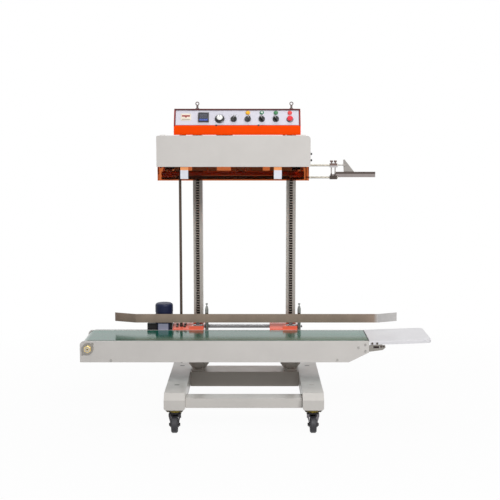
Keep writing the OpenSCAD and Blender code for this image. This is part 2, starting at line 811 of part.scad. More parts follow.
module indicator_lamps() placed() color("limegreen") for (x = lamp_x) on_panel(x, lamp_row) {
    bar_z(0, 0, -24, -box_sheet, lamp_r - gap);
    bar_z(0, 0, -box_sheet, 0, lamp_r + 2);
    rotate_extrude() polygon([[0, 0], [9.9, 0], [9.9, 2], [7.5, 4.6], [0, 5.4]]);
}

module speed_dial() placed() color(black_part) on_panel(dial_x, dial_row) {
    bar_z(0, 0, -28, 0, knob_shaft_r);
    translate([0, 0, -box_sheet + gap]) rotate_extrude()
        polygon([[0, 0], [21.5, 0], [21.5, 2.5], [16.5, 4.5], [14.5, 14], [12.5, 16], [0, 16]]);
}

module selector(k, turn) placed() color(black_part) on_panel(knob_x[k], control_row) {
    base = -box_sheet + gap;
    bar_z(0, 0, -28, base + 1, knob_shaft_r);
    bar_z(0, 0, base, base + 6, 14);
    intersection() {
        bar_z(0, 0, base + 5, base + 18, 13);
        rotate(turn) span([-4.5, -13, base], [4.5, 13, base + 17]);
    }
}

module selector_1() selector(0, -20);
module selector_2() selector(1, -40);
module selector_3() selector(2, 40);
module selector_4() selector(3, 40);

module stop_button() placed() color("crimson") on_panel(button_x, control_row) {
    bar_z(0, 0, -34, 5, button_stem_r);
    translate([0, 0, 0.2 + button_travel + gap]) rotate_extrude()
        polygon([[0, 0], [13, 0], [13, 5], [11, 7.5], [0, 8.5]]);
}

// ---------------------------------------------------------------- infeed guide

module infeed_rods() placed() color(bright_steel) for (z = rod_z)
    bar_x(cheek_x[1], rod_end, rod_y, z, rod_r);

module infeed_clamp() placed() color(dark_steel) {
    posts = [clamp_x + 8, clamp_x + 25];
    difference() {
        union() {
            span([clamp_x, rod_y - 12, rod_z[1] - 9], [clamp_x + clamp_w, rod_y + 12, rod_z[1] + 9]);
            span([clamp_x, rod_y - 10, rod_z[0] - 8], [clamp_x + clamp_w, rod_y + 10, rod_z[0] + 8]);
        }
        for (z = rod_z) bar_x(clamp_x - 1, clamp_x + clamp_w + 1, rod_y, z, rod_r + running_gap);
    }
    for (x = posts) bar_z(x, rod_y + 7, rod_z[0] + 8, rod_z[1] - 9, 2.6);
    for (x = posts) {
        bar_z(x, rod_y, rod_z[1] + 9, rod_z[1] + 14, 3);
        bar_z(x, rod_y, rod_z[1] + 14, rod_z[1] + 22, 6.5);
    }
}

module infeed_guide() placed() color(bright_steel) {
    half = infeed_slot / 2;
    top = guide_band_z + infeed_h + 7;
    low = top - infeed_h;
    end = infeed_x[1];
    span([infeed_x[0], seal_y - half - 2, top - 2], [end, seal_y + half + 2, top]);
    for (y = [seal_y - half - 2, seal_y + half]) span([infeed_x[0], y, low], [end, y + 2, top - 2]);
    span([clamp_x + 4, rod_y + 10, low], [infeed_x[0] + 30, seal_y - half - 2, low + 14]);
    along_y(seal_y - 1.5, seal_y + 1.5) polygon([
        [infeed_x[0] + 41, top], [infeed_x[0] + 88, top],
        [infeed_x[0] + 44, top + 56], [infeed_x[0] + 38, top + 54]]);
    bar_x(clamp_x + clamp_w, infeed_x[0] + 46, rod_y + 8, rod_z[1] + 1, 2.5);
    span([infeed_x[0] + 36, rod_y + 6, rod_z[1] - 4], [infeed_x[0] + 46, seal_y - 1.5, rod_z[1] + 6]);
}

// ---------------------------------------------------------------- conveyor

module frame_outline() difference() {
    translate([-conveyor_left, conveyor_z])
        round_top(conveyor_left + conveyor_right, conveyor_h, frame_corner, 2);
    polygon([[conveyor_right - bevel_run, conveyor_z - 1], [conveyor_right - bevel_run, conveyor_z],
             [conveyor_right - 2, conveyor_z + bevel_rise], [conveyor_right + 1, conveyor_z + bevel_rise],
             [conveyor_right + 1, conveyor_z - 1]]);
}

// A side frame: outer face at y, the lips on the side that inwards points to
module side_frame(y, inwards) {
    y_in = y + inwards * frame_sheet;
    lip_end = y + inwards * lip_w;
    top = conveyor_z + conveyor_h;
    difference() {
        union() {
            along_y(min(y, y_in), max(y, y_in)) frame_outline();
            span([-conveyor_left + frame_corner, min(y, lip_end), top - lip_t],
                 [conveyor_right - 2, max(y, lip_end), top]);
            span([-conveyor_left + 4, min(y, lip_end), conveyor_z],
                 [conveyor_right - bevel_run, max(y, lip_end), conveyor_z + lip_t]);
        }
        bar_y(drive_x, y - 20, y + 20, drive_z, drive_axle_r + 3);
    }
}

module side_frame_front() placed() color(paint_grey) side_frame(conveyor_front, 1);
module side_frame_back() placed() color(paint_grey) side_frame(conveyor_back, -1);

module slider_bed() placed() color(bright_steel) {
    inner = [conveyor_front + frame_sheet, conveyor_back - frame_sheet];
    top = belt_top - belt_t - gap;
    bed = [drive_x + drive_r + 12, tail_x - tail_r - 12];
    ties = 4;
    span([bed[0], belt_y0, top - bed_t], [bed[1], belt_y1, top]);
    for (k = [0:ties]) {
        x = bed[0] + 10 + k * (bed[1] - bed[0] - 40) / ties;
        difference() {
            span([x, inner[0], top - 26], [x + 20, inner[1], top - bed_t]);
            span([x + 3, inner[0] - 1, top - 23], [x + 17, inner[1] + 1, top - bed_t - 3]);
        }
    }
}

module conveyor_belt() placed() color(belt_green) along_y(belt_y0, belt_y1)
    belt_outline([drive_x, drive_z, drive_r + gap], [tail_x, tail_z, tail_r + gap], belt_t);

module drive_roller() placed() color(bright_steel) {
    bar_y(drive_x, belt_y0, belt_y1, drive_z, drive_r);
    bar_y(drive_x, conveyor_front - 10, chain_y + chain_w + 1, drive_z, drive_axle_r);
    bar_y(drive_x, chain_y, chain_y + chain_w, drive_z, sprocket_r);
    hex_front(drive_x, conveyor_front - 10, drive_z, 22, 8);
}

module tail_roller() placed() color(bright_steel) {
    bar_y(tail_x, belt_y0, belt_y1, tail_z, tail_r);
    bar_y(tail_x, conveyor_front + frame_sheet + gap, conveyor_back - frame_sheet - gap,
          tail_z, tail_axle_r);
}

// A flange bearing with its axis along Y, standing out from a side frame's face
module flange(x, y0, y1, z, r, bore, turn) difference() {
    union() {
        bar_y(x, y0, y1, z, r);
        for (a = [turn, turn + 180]) bar_y(x + (r + 3) * cos(a), y0, y1, z + (r + 3) * sin(a), 6);
    }
    bar_y(x, y0 - 1, y1 + 1, z, bore + running_gap);
}

module end_brackets() placed() color(bright_steel) {
    inner = [conveyor_front + frame_sheet, conveyor_back - frame_sheet];
    flange(drive_x, conveyor_front - 7, conveyor_front, drive_z, 26, drive_axle_r, 45);
    flange(drive_x, conveyor_back, conveyor_back + 4, drive_z, 16, drive_axle_r, 45);
    flange(tail_x, inner[0], inner[0] + 5, tail_z, 12, tail_axle_r, 0);
    flange(tail_x, inner[1] - 5, inner[1], tail_z, 12, tail_axle_r, 0);
    for (y = [conveyor_front, conveyor_back - 3]) {
        top = tray_left_z - tray_lip - 1;
        difference() {
            union() {
                along_y(y, y + 3) polygon([
                    [conveyor_right, top - 30], [conveyor_right + 61, top - 22],
                    [conveyor_right + 74, top - 11], [conveyor_right + 72, top],
                    [conveyor_right, top]]);
                along_y(y + (y < 0 ? 3 : -3), y + (y < 0 ? 6 : 0)) polygon([
                    [conveyor_right + 4, top - 10], [conveyor_right + 60, top - 4],
                    [conveyor_right + 60, tray_left_z - tray_t],
                    [conveyor_right + 4, tray_left_z - tray_t]]);
            }
            span([conveyor_right + 18, y - 4, top - 14], [conveyor_right + 46, y + 7, top - 4]);
        }
    }
}

module tray() placed() color("white") translate([conveyor_right + tray_gap, conveyor_front, tray_left_z])
    rotate([0, -tray_tilt, 0]) {
        corner = 24;
        straight = tray_length - corner;
        span([0, 0, -tray_t], [straight, tray_w, 0]);
        span([0, corner, -tray_t], [tray_length, tray_w - corner, 0]);
        for (y = [corner, tray_w - corner]) bar_z(straight, y, -tray_t, 0, corner);
        span([0, 0, -tray_lip], [straight, 2, -tray_t]);
        span([0, tray_w - 2, -tray_lip], [straight, tray_w, -tray_t]);
        span([tray_length - 2, corner, -tray_lip], [tray_length, tray_w - corner, -tray_t]);
        for (y = [corner, tray_w - corner]) intersection() {
            difference() {
                bar_z(straight, y, -tray_lip, -tray_t, corner);
                bar_z(straight, y, -tray_lip - 1, 0, corner - 2);
            }
            span([straight, y > tray_w / 2 ? y : y - corner, -tray_lip],
                 [tray_length, y > tray_w / 2 ? y + corner : y, 0]);
        }
    }

module rail_posts() placed() color(bright_steel) for (x = rail_post_x) {
    y = rail_post_y;
    difference() {
        union() {
            bar_z(x, y, conveyor_z + 11, rail_post_top, rail_post_r);
            span([x - 13, conveyor_back, conveyor_z + 30], [x + 13, y + rail_post_r, conveyor_z + 80]);
            translate([x, y, rail_post_top]) cylinder(r1 = rail_post_r, r2 = 5, h = 13);
            bar_z(x, y, rail_post_top + 13, rail_post_top + 21, 2.5);
            bar_z(x, y, rail_post_top + 21, rail_post_top + 27, 5.2);
        }
        bar_y(x, conveyor_back - 5, y + 30, rail_z + rail_h / 2, rail_arm_r + running_gap);
    }
}

module guide_rail() placed() color([0.55, 0.48, 0.42]) {
    y1 = rail_y + rail_t;
    flare_t = rail_t * 1.3;
    translate([0, 0, rail_z]) linear_extrude(rail_h) polygon([
        [rail_x[0], rail_y + rail_flare], [rail_x[1], rail_y],
        [rail_x[2], rail_y], [rail_x[3], rail_y + rail_flare],
        [rail_x[3], rail_y + rail_flare + flare_t], [rail_x[2], y1],
        [rail_x[1], y1], [rail_x[0], rail_y + rail_flare + flare_t]]);
    for (x = rail_post_x) bar_y(x, y1, y1 + rail_arm_l, rail_z + rail_h / 2, rail_arm_r);
}

// ---------------------------------------------------------------- carriage

module carriage_bracket(x, reach) {
    inner = column_w / 2 + gap;
    outer = inner + bracket_t;
    plate_back = bracket_y + bracket_t;
    rear = column_back + gap;
    difference() {
        union() {
            along_y(bracket_y, plate_back) polygon([
                [x - reach, bracket_z], [x - reach, plate_top], [x - lip_left, plate_top],
                [x - lip_left, lip_low], [x + outer, lip_low], [x + outer, plate_top - 14],
                [x + inner - gap, plate_top - 14], [x + inner - gap, bracket_z]]);
            along_x(x - reach, x - inner) polygon([
                [bracket_y, hood_low], [bracket_y, plate_top], [lift_y - 14, hood_crest],
                [hood_back, hood_crest + 2.5], [hood_back, hood_crest - 2.5],
                [lift_y - 12, hood_crest - hood_t], [plate_back, plate_top - hood_t],
                [plate_back, hood_low]]);
            span([x - outer, plate_back, bracket_z], [x - inner, rear + bracket_t, lip_low]);
            span([x + inner, bracket_y + 28, bracket_z], [x + outer, rear + bracket_t, lip_low]);
            span([x - inner, rear, bracket_z], [x + inner, rear + bracket_t, lip_low]);
            span([x - inner, plate_back, bracket_z],
                 [x + inner, rack_line_y - tooth_up - 3, bracket_z + bracket_t]);
            for (side = [-1, 1]) {
                edge = rack_w / 2 + rack_clear;
                span([side > 0 ? x + edge : x - inner, column_y - gap - guide_bar_t, bracket_z],
                     [side > 0 ? x + inner : x - edge, column_y - gap, lip_low]);
            }
        }
        bar_x(x - outer - 1, x + outer + 1, lift_y, lift_z, lift_shaft_d / 2 + running_gap);
        bar_z(post_x, post_y, bracket_z - 1, hood_crest + 10, post_r + 2);
    }
}

module carriage_brackets() placed() color(orange_paint) {
    carriage_bracket(-column_spacing / 2, bracket_reach[0]);
    carriage_bracket(column_spacing / 2, bracket_reach[1]);
}

module lift_shaft() placed() color(bright_steel) {
    reach = column_spacing / 2 + column_w / 2 + gap + bracket_t;
    bar_x(-reach - 4, reach + 4, lift_y, lift_z, lift_shaft_d / 2);
    translate([reach + 4, lift_y, lift_z]) rotate([0, 90, 0]) cylinder(d = 14, h = 22, $fn = 6);
    for (side = [-1, 1]) translate([side * column_spacing / 2 - pinion_w / 2, lift_y, lift_z])
        rotate([90, 0, 90]) linear_extrude(pinion_w)
            polygon(gear_points(pinion_teeth, pitch_r, tooth_up, tooth_down, pressure_angle, backlash));
}

module motor() placed() color(motor_blue) {
    r = motor_d / 2;
    translate([motor_x, motor_y, gear_z[1]]) rotate_extrude() polygon([
        [0, 0], [r + 3, 0], [r + 3, 6], [r - 1, 6], [r - 1, motor_h * 0.55], [r, motor_h * 0.55],
        [r, motor_h - 9], [r - 3, motor_h - 3], [r - 8, motor_h], [0, motor_h]]);
    span([motor_x - 28, conveyor_back + 2, gear_z[0] + 54], [motor_x + 28, gear_y[0], gear_z[1] + 4]);
}

module gear_housing() placed() color(black_part) {
    difference() {
        union() {
            span([gear_x0, gear_y[0], gear_z[0]], [gear_x1, gear_y[1], gear_z[1]]);
            span([gear_x1, bracket_y + bracket_t, gear_z[0] + 15],
                 [post_x + 24, post_y + 22, hood_low - 2]);
        }
        bar_z(post_x, post_y, gear_z[0], gear_z[1], post_r + gap);
        bar_y(sprocket_x, gear_y[0] - 1, gear_y[0] + 20, sprocket_z, sprocket_shaft_r + running_gap);
    }
}

module gearbox_sprocket() placed() color(bright_steel) {
    bar_y(sprocket_x, chain_y, chain_y + chain_w, sprocket_z, sprocket_r);
    bar_y(sprocket_x, chain_y, gear_y[0] + 18, sprocket_z, sprocket_shaft_r);
}

module drive_chain() placed() color(dark_steel) along_y(chain_y, chain_y + chain_w)
    belt_outline([drive_x, drive_z, sprocket_r + gap], [sprocket_x, sprocket_z, sprocket_r + gap], chain_t);

module chain_cover() placed() color(black_part) {
    r = chain_cover_r;
    outer = r + chain_cover_t;
    difference() {
        along_y(conveyor_back, chain_cover_y + chain_cover_t)
            loop_outline([drive_x, drive_z, outer], [sprocket_x, sprocket_z, outer]);
        along_y(conveyor_back - 1, chain_cover_y)
            loop_outline([drive_x, drive_z, r], [sprocket_x, sprocket_z, r]);
        bar_y(sprocket_x, conveyor_back, chain_cover_y + 3, sprocket_z, sprocket_shaft_r + 1);
    }
}

// ---------------------------------------------------------------- all nodes

leg_left();
leg_right();
front_beam();
column_beam();
caster_plates();
columns();
racks();
lifting_eyes();
head_base();
head_frame();
control_box();
control_panel();
temp_controller();
indicator_lamps();
seal_belts();
guide_belts();
seal_blocks();
head_drive_belt();
infeed_rods();
guard_cover();
shield();
cover_knobs();
drive_spindle_front();
drive_spindle_rear();
idle_spindle_front();
idle_spindle_rear();
drive_post();
speed_dial();
selector_1();
selector_2();
selector_3();
selector_4();
stop_button();
infeed_clamp();
infeed_guide();
caster_fork_fl();
caster_fork_fr();
caster_fork_rl();
caster_fork_rr();
caster_wheel_fl();
caster_wheel_fr();
caster_wheel_rl();
caster_wheel_rr();
side_frame_front();
side_frame_back();
slider_bed();
conveyor_belt();
carriage_brackets();
motor();
gear_housing();
chain_cover();
drive_chain();
gearbox_sprocket();
tray();
end_brackets();
rail_posts();
guide_rail();
drive_roller();
tail_roller();
lift_shaft();
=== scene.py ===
"""Looks of the continuous band sealer: materials for the CAD nodes, the small trim
that the CAD source leaves out, the floor, the lights and the camera.

Colours are display values from 0 to 255, matched under these lamps. Pieces are built
in millimetres and scaled by MM."""

import math

import bmesh
import bpy
from mathutils import Matrix, Vector


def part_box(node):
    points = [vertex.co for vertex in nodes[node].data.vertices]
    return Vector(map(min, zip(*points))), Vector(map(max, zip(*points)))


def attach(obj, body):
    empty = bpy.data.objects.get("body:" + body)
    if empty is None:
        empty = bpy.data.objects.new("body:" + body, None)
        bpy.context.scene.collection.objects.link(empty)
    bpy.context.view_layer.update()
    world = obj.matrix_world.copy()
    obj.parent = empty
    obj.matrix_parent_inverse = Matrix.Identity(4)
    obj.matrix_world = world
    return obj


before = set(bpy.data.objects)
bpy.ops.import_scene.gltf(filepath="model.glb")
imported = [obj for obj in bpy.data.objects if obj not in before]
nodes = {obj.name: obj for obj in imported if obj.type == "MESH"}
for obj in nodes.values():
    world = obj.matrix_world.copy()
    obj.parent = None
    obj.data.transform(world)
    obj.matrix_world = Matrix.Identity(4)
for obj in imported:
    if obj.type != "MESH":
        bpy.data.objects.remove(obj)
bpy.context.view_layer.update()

# ------------------------------------------------------------------ places
# Millimetres about the machine's middle plane, as in the CAD source

MM = 0.001
columns_low, columns_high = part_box("columns")
MIDDLE_X = (columns_low.x + columns_high.x) / 2
box_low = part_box("control_box")[0]
PANEL_PITCH = math.radians(60)
BOX_STRIP = 0.039


def at(x, y, z):
    """A point in millimetres about the middle plane, in the row frame."""
    return Vector((MIDDLE_X + x * MM, y * MM, z * MM))


def panel_frame(x, up, out=0.0):
    """X to the right, Y up the panel and Z out of it, with its origin on the panel."""
    right = Vector((1, 0, 0))
    slope = Vector((0, math.cos(PANEL_PITCH), math.sin(PANEL_PITCH)))
    normal = right.cross(slope)
    origin = Vector((MIDDLE_X + x * MM, box_low.y, box_low.z + BOX_STRIP))
    origin += slope * up * MM + normal * out * MM
    turn = Matrix((right, slope, normal)).transposed().to_4x4()
    return Matrix.Translation(origin) @ turn


def facing(point, normal, up=(0, 0, 1)):
    """A frame at point whose Z runs along normal."""
    z = Vector(normal).normalized()
    x = Vector(up).cross(z)
    x = x.normalized() if x.length > 1e-6 else Vector((1, 0, 0))
    y = z.cross(x)
    return Matrix.Translation(point) @ Matrix((x, y, z)).transposed().to_4x4()


# --------------------------------------------------------------- materials


def linear(r, g, b):
    """A display colour, 0 to 255, as linear values."""
    out = []
    for v in (r, g, b):
        v /= 255
        out.append(v / 12.92 if v <= 0.04045 else ((v + 0.055) / 1.055) ** 2.4)
    return tuple(out)


def shade(colour, k):
    return tuple(min(1.0, c * k) for c in colour[:3]) + (1.0,)


class Tree:
    """A material's node tree, with its Principled node, in few words."""

    def __init__(self, name):
        self.mat = bpy.data.materials.new(name)
        self.mat.use_nodes = True
        self.nt = self.mat.node_tree
        self.bsdf = self.nt.nodes["Principled BSDF"]
        self.place = self.nt.nodes.new("ShaderNodeTexCoord").outputs["Object"]

    def node(self, kind, **inputs):
        n = self.nt.nodes.new("ShaderNode" + kind)
        for key, value in inputs.items():
            socket = n.inputs[key.replace("_", " ")]
            if isinstance(value, bpy.types.NodeSocket):
                self.nt.links.new(value, socket)
            else:
                socket.default_value = value
        return n

    def link(self, out, socket):
        self.nt.links.new(out, socket)

    def stretched(self, scale):
        return self.node("Mapping", Vector=self.place, Scale=scale).outputs[0]

    def noise(self, scale, detail=3.0, rough=0.5, where=None):
        n = self.node(
            "TexNoise", Vector=where or self.place, Scale=scale, Detail=detail, Roughness=rough
        )
        return n.outputs["Fac"]

    def spread(self, value, low, high, start=0.3, end=0.7):
        n = self.node("MapRange", Value=value)
        n.inputs["From Min"].default_value = start
        n.inputs["From Max"].default_value = end
        n.inputs["To Min"].default_value = low
        n.inputs["To Max"].default_value = high
        return n.outputs[0]

    def mix(self, fac, a, b):
        n = self.nt.nodes.new("ShaderNodeMix")
        n.data_type = "RGBA"
        for socket, value in ((n.inputs[0], fac), (n.inputs[6], a), (n.inputs[7], b)):
            if isinstance(value, bpy.types.NodeSocket):
                self.nt.links.new(value, socket)
            else:
                socket.default_value = value
        return n.outputs[2]

    def ramp(self, value, stops, smooth=False):
        n = self.nt.nodes.new("ShaderNodeValToRGB")
        n.color_ramp.interpolation = "LINEAR" if smooth else "CONSTANT"
        points = n.color_ramp.elements
        points[0].position, points[0].color = stops[0][0], stops[0][1]
        points[1].position, points[1].color = stops[1][0], stops[1][1]
        for position, colour in stops[2:]:
            points.new(position).color = colour
        self.link(value, n.inputs[0])
        return n.outputs[0]

    def axis(self, index, low, high):
        """Object X, Y or Z, from low to high in metres, as 0 to 1."""
        parts = self.node("SeparateXYZ", Vector=self.place)
        return self.spread(parts.outputs[index], 0.0, 1.0, low, high)

    def bump(self, height, strength, distance):
        n = self.node("Bump", Height=height, Strength=strength, Distance=distance)
        self.link(n.outputs[0], self.bsdf.inputs["Normal"])

    def set(self, **values):
        for key, value in values.items():
            self.bsdf.inputs[key.replace("_", " ")].default_value = value


def paint(name, colour, rough=0.38, coat=0.15, vary=0.05, dust=0.06, gloss=0.5):
    """Powder coat: fine orange peel, faint tone drift and light dust facing up."""
    t = Tree(name)
    drift = t.noise(5.0, 4.0, 0.6)
    fine = t.noise(420.0, 2.0)
    tone = t.mix(t.spread(drift, 0.0, 1.0), shade(colour, 1 - vary), shade(colour, 1 + vary * 0.6))
    up = t.node("SeparateXYZ", Vector=t.node("NewGeometry").outputs["Normal"]).outputs[2]
    settled = t.node("Math", Value=t.spread(up, 0.0, dust, 0.6, 1.0))
    settled.operation = "MULTIPLY"
    t.link(t.spread(t.noise(38.0, 5.0, 0.65), 0.3, 1.0), settled.inputs[1])
    t.link(t.mix(settled.outputs[0], tone, (0.62, 0.60, 0.57, 1.0)), t.bsdf.inputs["Base Color"])
    t.link(t.spread(t.noise(24.0, 4.0), rough - 0.05, rough + 0.08), t.bsdf.inputs["Roughness"])
    t.bump(fine, 0.18, 0.00012)
    t.set(Coat_Weight=coat, Coat_Roughness=0.16, Specular_IOR_Level=gloss)
    return t.mat


def metal(name, colour, rough=0.3, streak=None, vary=0.12, metallic=1.0, bump=0.00004):
    """Machined or brushed metal, with streaks along the axis that streak stretches."""
    t = Tree(name)
    where = t.stretched(streak) if streak else None
    lines = t.noise(160.0 if streak else 60.0, 5.0, 0.6, where)
    stain = t.noise(11.0, 5.0, 0.6)
    tone = t.mix(t.spread(lines, 0.0, 1.0), shade(colour, 1 - vary), shade(colour, 1 + vary))
    tone = t.mix(t.spread(stain, 0.0, 0.35), tone, shade(colour, 0.72))
    t.link(tone, t.bsdf.inputs["Base Color"])
    t.link(t.spread(lines, rough - 0.07, rough + 0.1), t.bsdf.inputs["Roughness"])
    t.bump(lines, 0.35, bump)
    t.set(Metallic=metallic)
    return t.mat


def plastic(name, colour, rough=0.4, vary=0.08, grain=700.0, depth=0.00006, coat=0.0):
    """Moulded plastic or rubber: fine grain and uneven shine."""
    t = Tree(name)
    drift = t.spread(t.noise(30.0, 4.0), 0.0, 1.0)
    tone = t.mix(drift, shade(colour, 1 - vary), shade(colour, 1 + vary))
    t.link(tone, t.bsdf.inputs["Base Color"])
    t.link(t.spread(t.noise(55.0, 4.0), rough - 0.06, rough + 0.1), t.bsdf.inputs["Roughness"])
    t.bump(t.noise(grain, 2.0), 0.25, depth)
    t.set(Coat_Weight=coat, Coat_Roughness=0.08)
    return t.mat


GREY = linear(210, 206, 202)
ORANGE = linear(255, 75, 0)

grey_paint = paint("grey_paint", GREY)
stand_paint = paint("stand_paint", linear(206, 202, 197), rough=0.36, coat=0.2)
orange_paint = paint("orange_paint", ORANGE, rough=0.42, coat=0.0, vary=0.04, dust=0.0, gloss=0.05)
bracket_paint = paint("bracket_paint", linear(255, 104, 72), rough=0.3, coat=0.5, dust=0.12)
white_paint = paint("white_paint", linear(228, 227, 230), rough=0.42, coat=0.1, vary=0.03)
motor_paint = paint(
    "motor_paint", linear(19, 28, 62), rough=0.45, coat=0.05, vary=0.15, dust=0.02, gloss=0.25
)
black_paint = paint(
    "black_paint", linear(28, 26, 28), rough=0.45, coat=0.05, vary=0.2, dust=0.05, gloss=0.3
)

steel = metal("steel", linear(176, 174, 170), 0.26)
eye_steel = metal("eye_steel", linear(112, 106, 104), 0.3)
chrome = metal("chrome", linear(132, 134, 130), 0.18, streak=(8, 8, 1), vary=0.2)
shaft_steel = metal("shaft_steel", linear(166, 166, 168), 0.22, streak=(0.2, 3, 3), vary=0.05)
rod_steel = metal("rod_steel", linear(152, 147, 137), 0.3, streak=(0.2, 3, 3), vary=0.05)
stainless = metal("stainless", linear(150, 146, 140), 0.34, streak=(0.3, 1, 8))
head_dark = paint("head_dark", linear(46, 36, 34), rough=0.5, coat=0.0, vary=0.15, gloss=0.2)
dark_steel = metal("dark_steel", linear(92, 84, 78), 0.42, vary=0.2)
post_steel = metal("post_steel", linear(88, 76, 68), 0.4, streak=(10, 10, 1), vary=0.18)
column_paint = paint("column_paint", linear(182, 175, 167), rough=0.36, coat=0.2)
# The column beam gets a darker copy of the stand's paint: painted shade from the conveyor above it.
shaded_beam_paint = paint("shaded_beam_paint", linear(184, 175, 167), rough=0.4, coat=0.1)
zinc = metal("zinc", linear(54, 52, 54), 0.3, vary=0.25)
brass = metal("brass", linear(226, 200, 138), 0.34, vary=0.1)
black_plastic = plastic("black_plastic", linear(34, 33, 36), 0.38)
knob_black = plastic("knob_black", linear(26, 26, 28), 0.3, coat=0.2)
rubber = plastic("rubber", linear(30, 29, 29), 0.62, grain=260.0, depth=0.0001)
tyre = plastic("tyre", linear(44, 43, 48), 0.5, grain=180.0, depth=0.00012)
red_gloss = plastic("red_gloss", linear(226, 22, 44), 0.22, coat=0.5)
white_gloss = plastic("white_gloss", linear(240, 240, 238), 0.28, vary=0.02, coat=0.3)
RIM = {"rough": 0.45, "coat": 0.0, "vary": 0.12, "dust": 0.0, "gloss": 0.3}
# Darker copies of the box's orange for the panel's rim: painted shade, darkest along the top.
rim_shade_dark = paint("rim_shade_dark", linear(72, 22, 24), **RIM)
rim_shade_red = paint("rim_shade_red", linear(140, 36, 32), **RIM)
# Dark lines: the dial's mark, and painted shade along the panel film's edges.
mark_and_shade_dark = plastic("mark_and_shade_dark", linear(48, 44, 58), 0.45)
tick_grey = plastic("tick_grey", linear(150, 148, 156), 0.5)
cream = paint("cream", linear(232, 222, 205), rough=0.4, coat=0.1, vary=0.04)
plate_red = plastic("plate_red", linear(150, 30, 36), 0.4)
plate_grey = plastic("plate_grey", linear(150, 140, 132), 0.45)
screen_dark = plastic("screen_dark", linear(52, 54, 66), 0.16, coat=0.6)
screen_blue = plastic("screen_blue", linear(48, 72, 150), 0.3, coat=0.2)
lavender = paint("lavender", linear(150, 150, 172), rough=0.45, coat=0.0)
sticker = plastic("sticker", linear(228, 230, 240), 0.36, vary=0.02)
sticker_orange = plastic("sticker_orange", linear(244, 158, 96), 0.36, vary=0.03)


def belt_material():
    """Green conveyor belting: a smooth glossy top over a faint weave."""
    t = Tree("belt_green")
    green = linear(14, 100, 82)
    weave = t.noise(700.0, 2.0, 0.5, t.stretched((1, 0.35, 1)))
    streaks = t.noise(8.0, 5.0, 0.6, t.stretched((0.12, 1.6, 1)))
    tone = t.mix(t.spread(streaks, 0.0, 1.0), shade(green, 0.82), shade(green, 1.12))
    t.link(tone, t.bsdf.inputs["Base Color"])
    t.link(t.spread(streaks, 0.12, 0.24), t.bsdf.inputs["Roughness"])
    t.bump(weave, 0.12, 0.00005)
    t.set(Coat_Weight=0.12, Coat_Roughness=0.1, Specular_IOR_Level=0.45)
    return t.mat


def band_material():
    """Coated glass cloth, brown with a fine weave."""
    t = Tree("seal_band")
    brown = linear(120, 78, 44)
    weave = t.noise(900.0, 3.0, 0.5)
    tone = t.mix(t.spread(weave, 0.0, 1.0), shade(brown, 0.75), shade(brown, 1.2))
    t.link(tone, t.bsdf.inputs["Base Color"])
    t.set(Roughness=0.45)
    t.bump(weave, 0.3, 0.00008)
    return t.mat


def rack_material():
    """Tone by depth: light at the teeth's tips and near black at their roots, which is painted
    shade in the gaps between teeth; noise adds grime.
    """
    t = Tree("rack_steel")
    low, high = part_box("racks")
    depth = t.axis(1, low.y, low.y + 0.0075)
    tip, root = linear(158, 146, 136) + (1,), linear(30, 26, 24) + (1,)
    tone = t.ramp(depth, [(0.0, tip), (0.55, root)], smooth=True)
    grime = t.spread(t.noise(90.0, 4.0), 0.0, 0.3)
    t.link(t.mix(grime, tone, shade(root, 1.5)), t.bsdf.inputs["Base Color"])
    t.link(t.spread(t.noise(60.0, 3.0), 0.36, 0.55), t.bsdf.inputs["Roughness"])
    t.bump(t.noise(300.0, 3.0), 0.2, 0.00005)
    t.set(Metallic=0.7)
    return t.mat


def banded(name, node, axis, stops, rough=0.34, streak=(0.3, 1, 8)):
    """Metal whose tone steps along one axis of a node: stops of (share, display colour). The steps
    are painted reflection and shade.
    """
    t = Tree(name)
    low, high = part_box(node)
    along = t.axis(axis, low[axis], high[axis])
    tone = t.ramp(along, [(share, linear(*colour) + (1,)) for share, colour in stops], smooth=True)
    lines = t.noise(160.0, 5.0, 0.6, t.stretched(streak))
    stain = t.spread(t.noise(11.0, 5.0, 0.6), 0.0, 0.3)
    t.link(t.mix(stain, tone, linear(84, 78, 74) + (1,)), t.bsdf.inputs["Base Color"])
    t.link(t.spread(lines, rough - 0.07, rough + 0.1), t.bsdf.inputs["Roughness"])
    t.bump(lines, 0.35, 0.00004)
    t.set(Metallic=1.0)
    return t.mat


def panel_film():
    """Printed film on the control panel: pale, with a slight grain."""
    t = Tree("panel_film")
    pale = linear(210, 208, 219)
    tone = t.mix(t.spread(t.noise(9.0, 3.0), 0.0, 1.0), shade(pale, 0.98), shade(pale, 1.02))
    t.link(tone, t.bsdf.inputs["Base Color"])
    t.link(t.spread(t.noise(60.0, 3.0), 0.3, 0.42), t.bsdf.inputs["Roughness"])
    t.bump(t.noise(1500.0, 2.0), 0.15, 0.00003)
    return t.mat


def lamp_material():
    """The four indicator lamps share a node, so colour follows their place along X."""
    t = Tree("lamp_lens")
    low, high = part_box("indicator_lamps")
    span = t.axis(0, low.x, high.x)
    yellow = linear(252, 184, 0) + (1,)
    clear = linear(216, 228, 222) + (1,)
    green = linear(0, 128, 84) + (1,)
    red = linear(232, 44, 62) + (1,)
    tone = t.ramp(span, [(0.0, yellow), (0.22, clear), (0.5, green), (0.78, red)])
    glow = t.mix(t.spread(t.noise(300.0, 2.0), 0.0, 0.15), tone, shade(yellow, 0.6))
    t.link(glow, t.bsdf.inputs["Base Color"])
    t.set(Roughness=0.2, Coat_Weight=0.6, Coat_Roughness=0.05)
    t.bump(t.noise(500.0, 2.0), 0.12, 0.00004)
    return t.mat


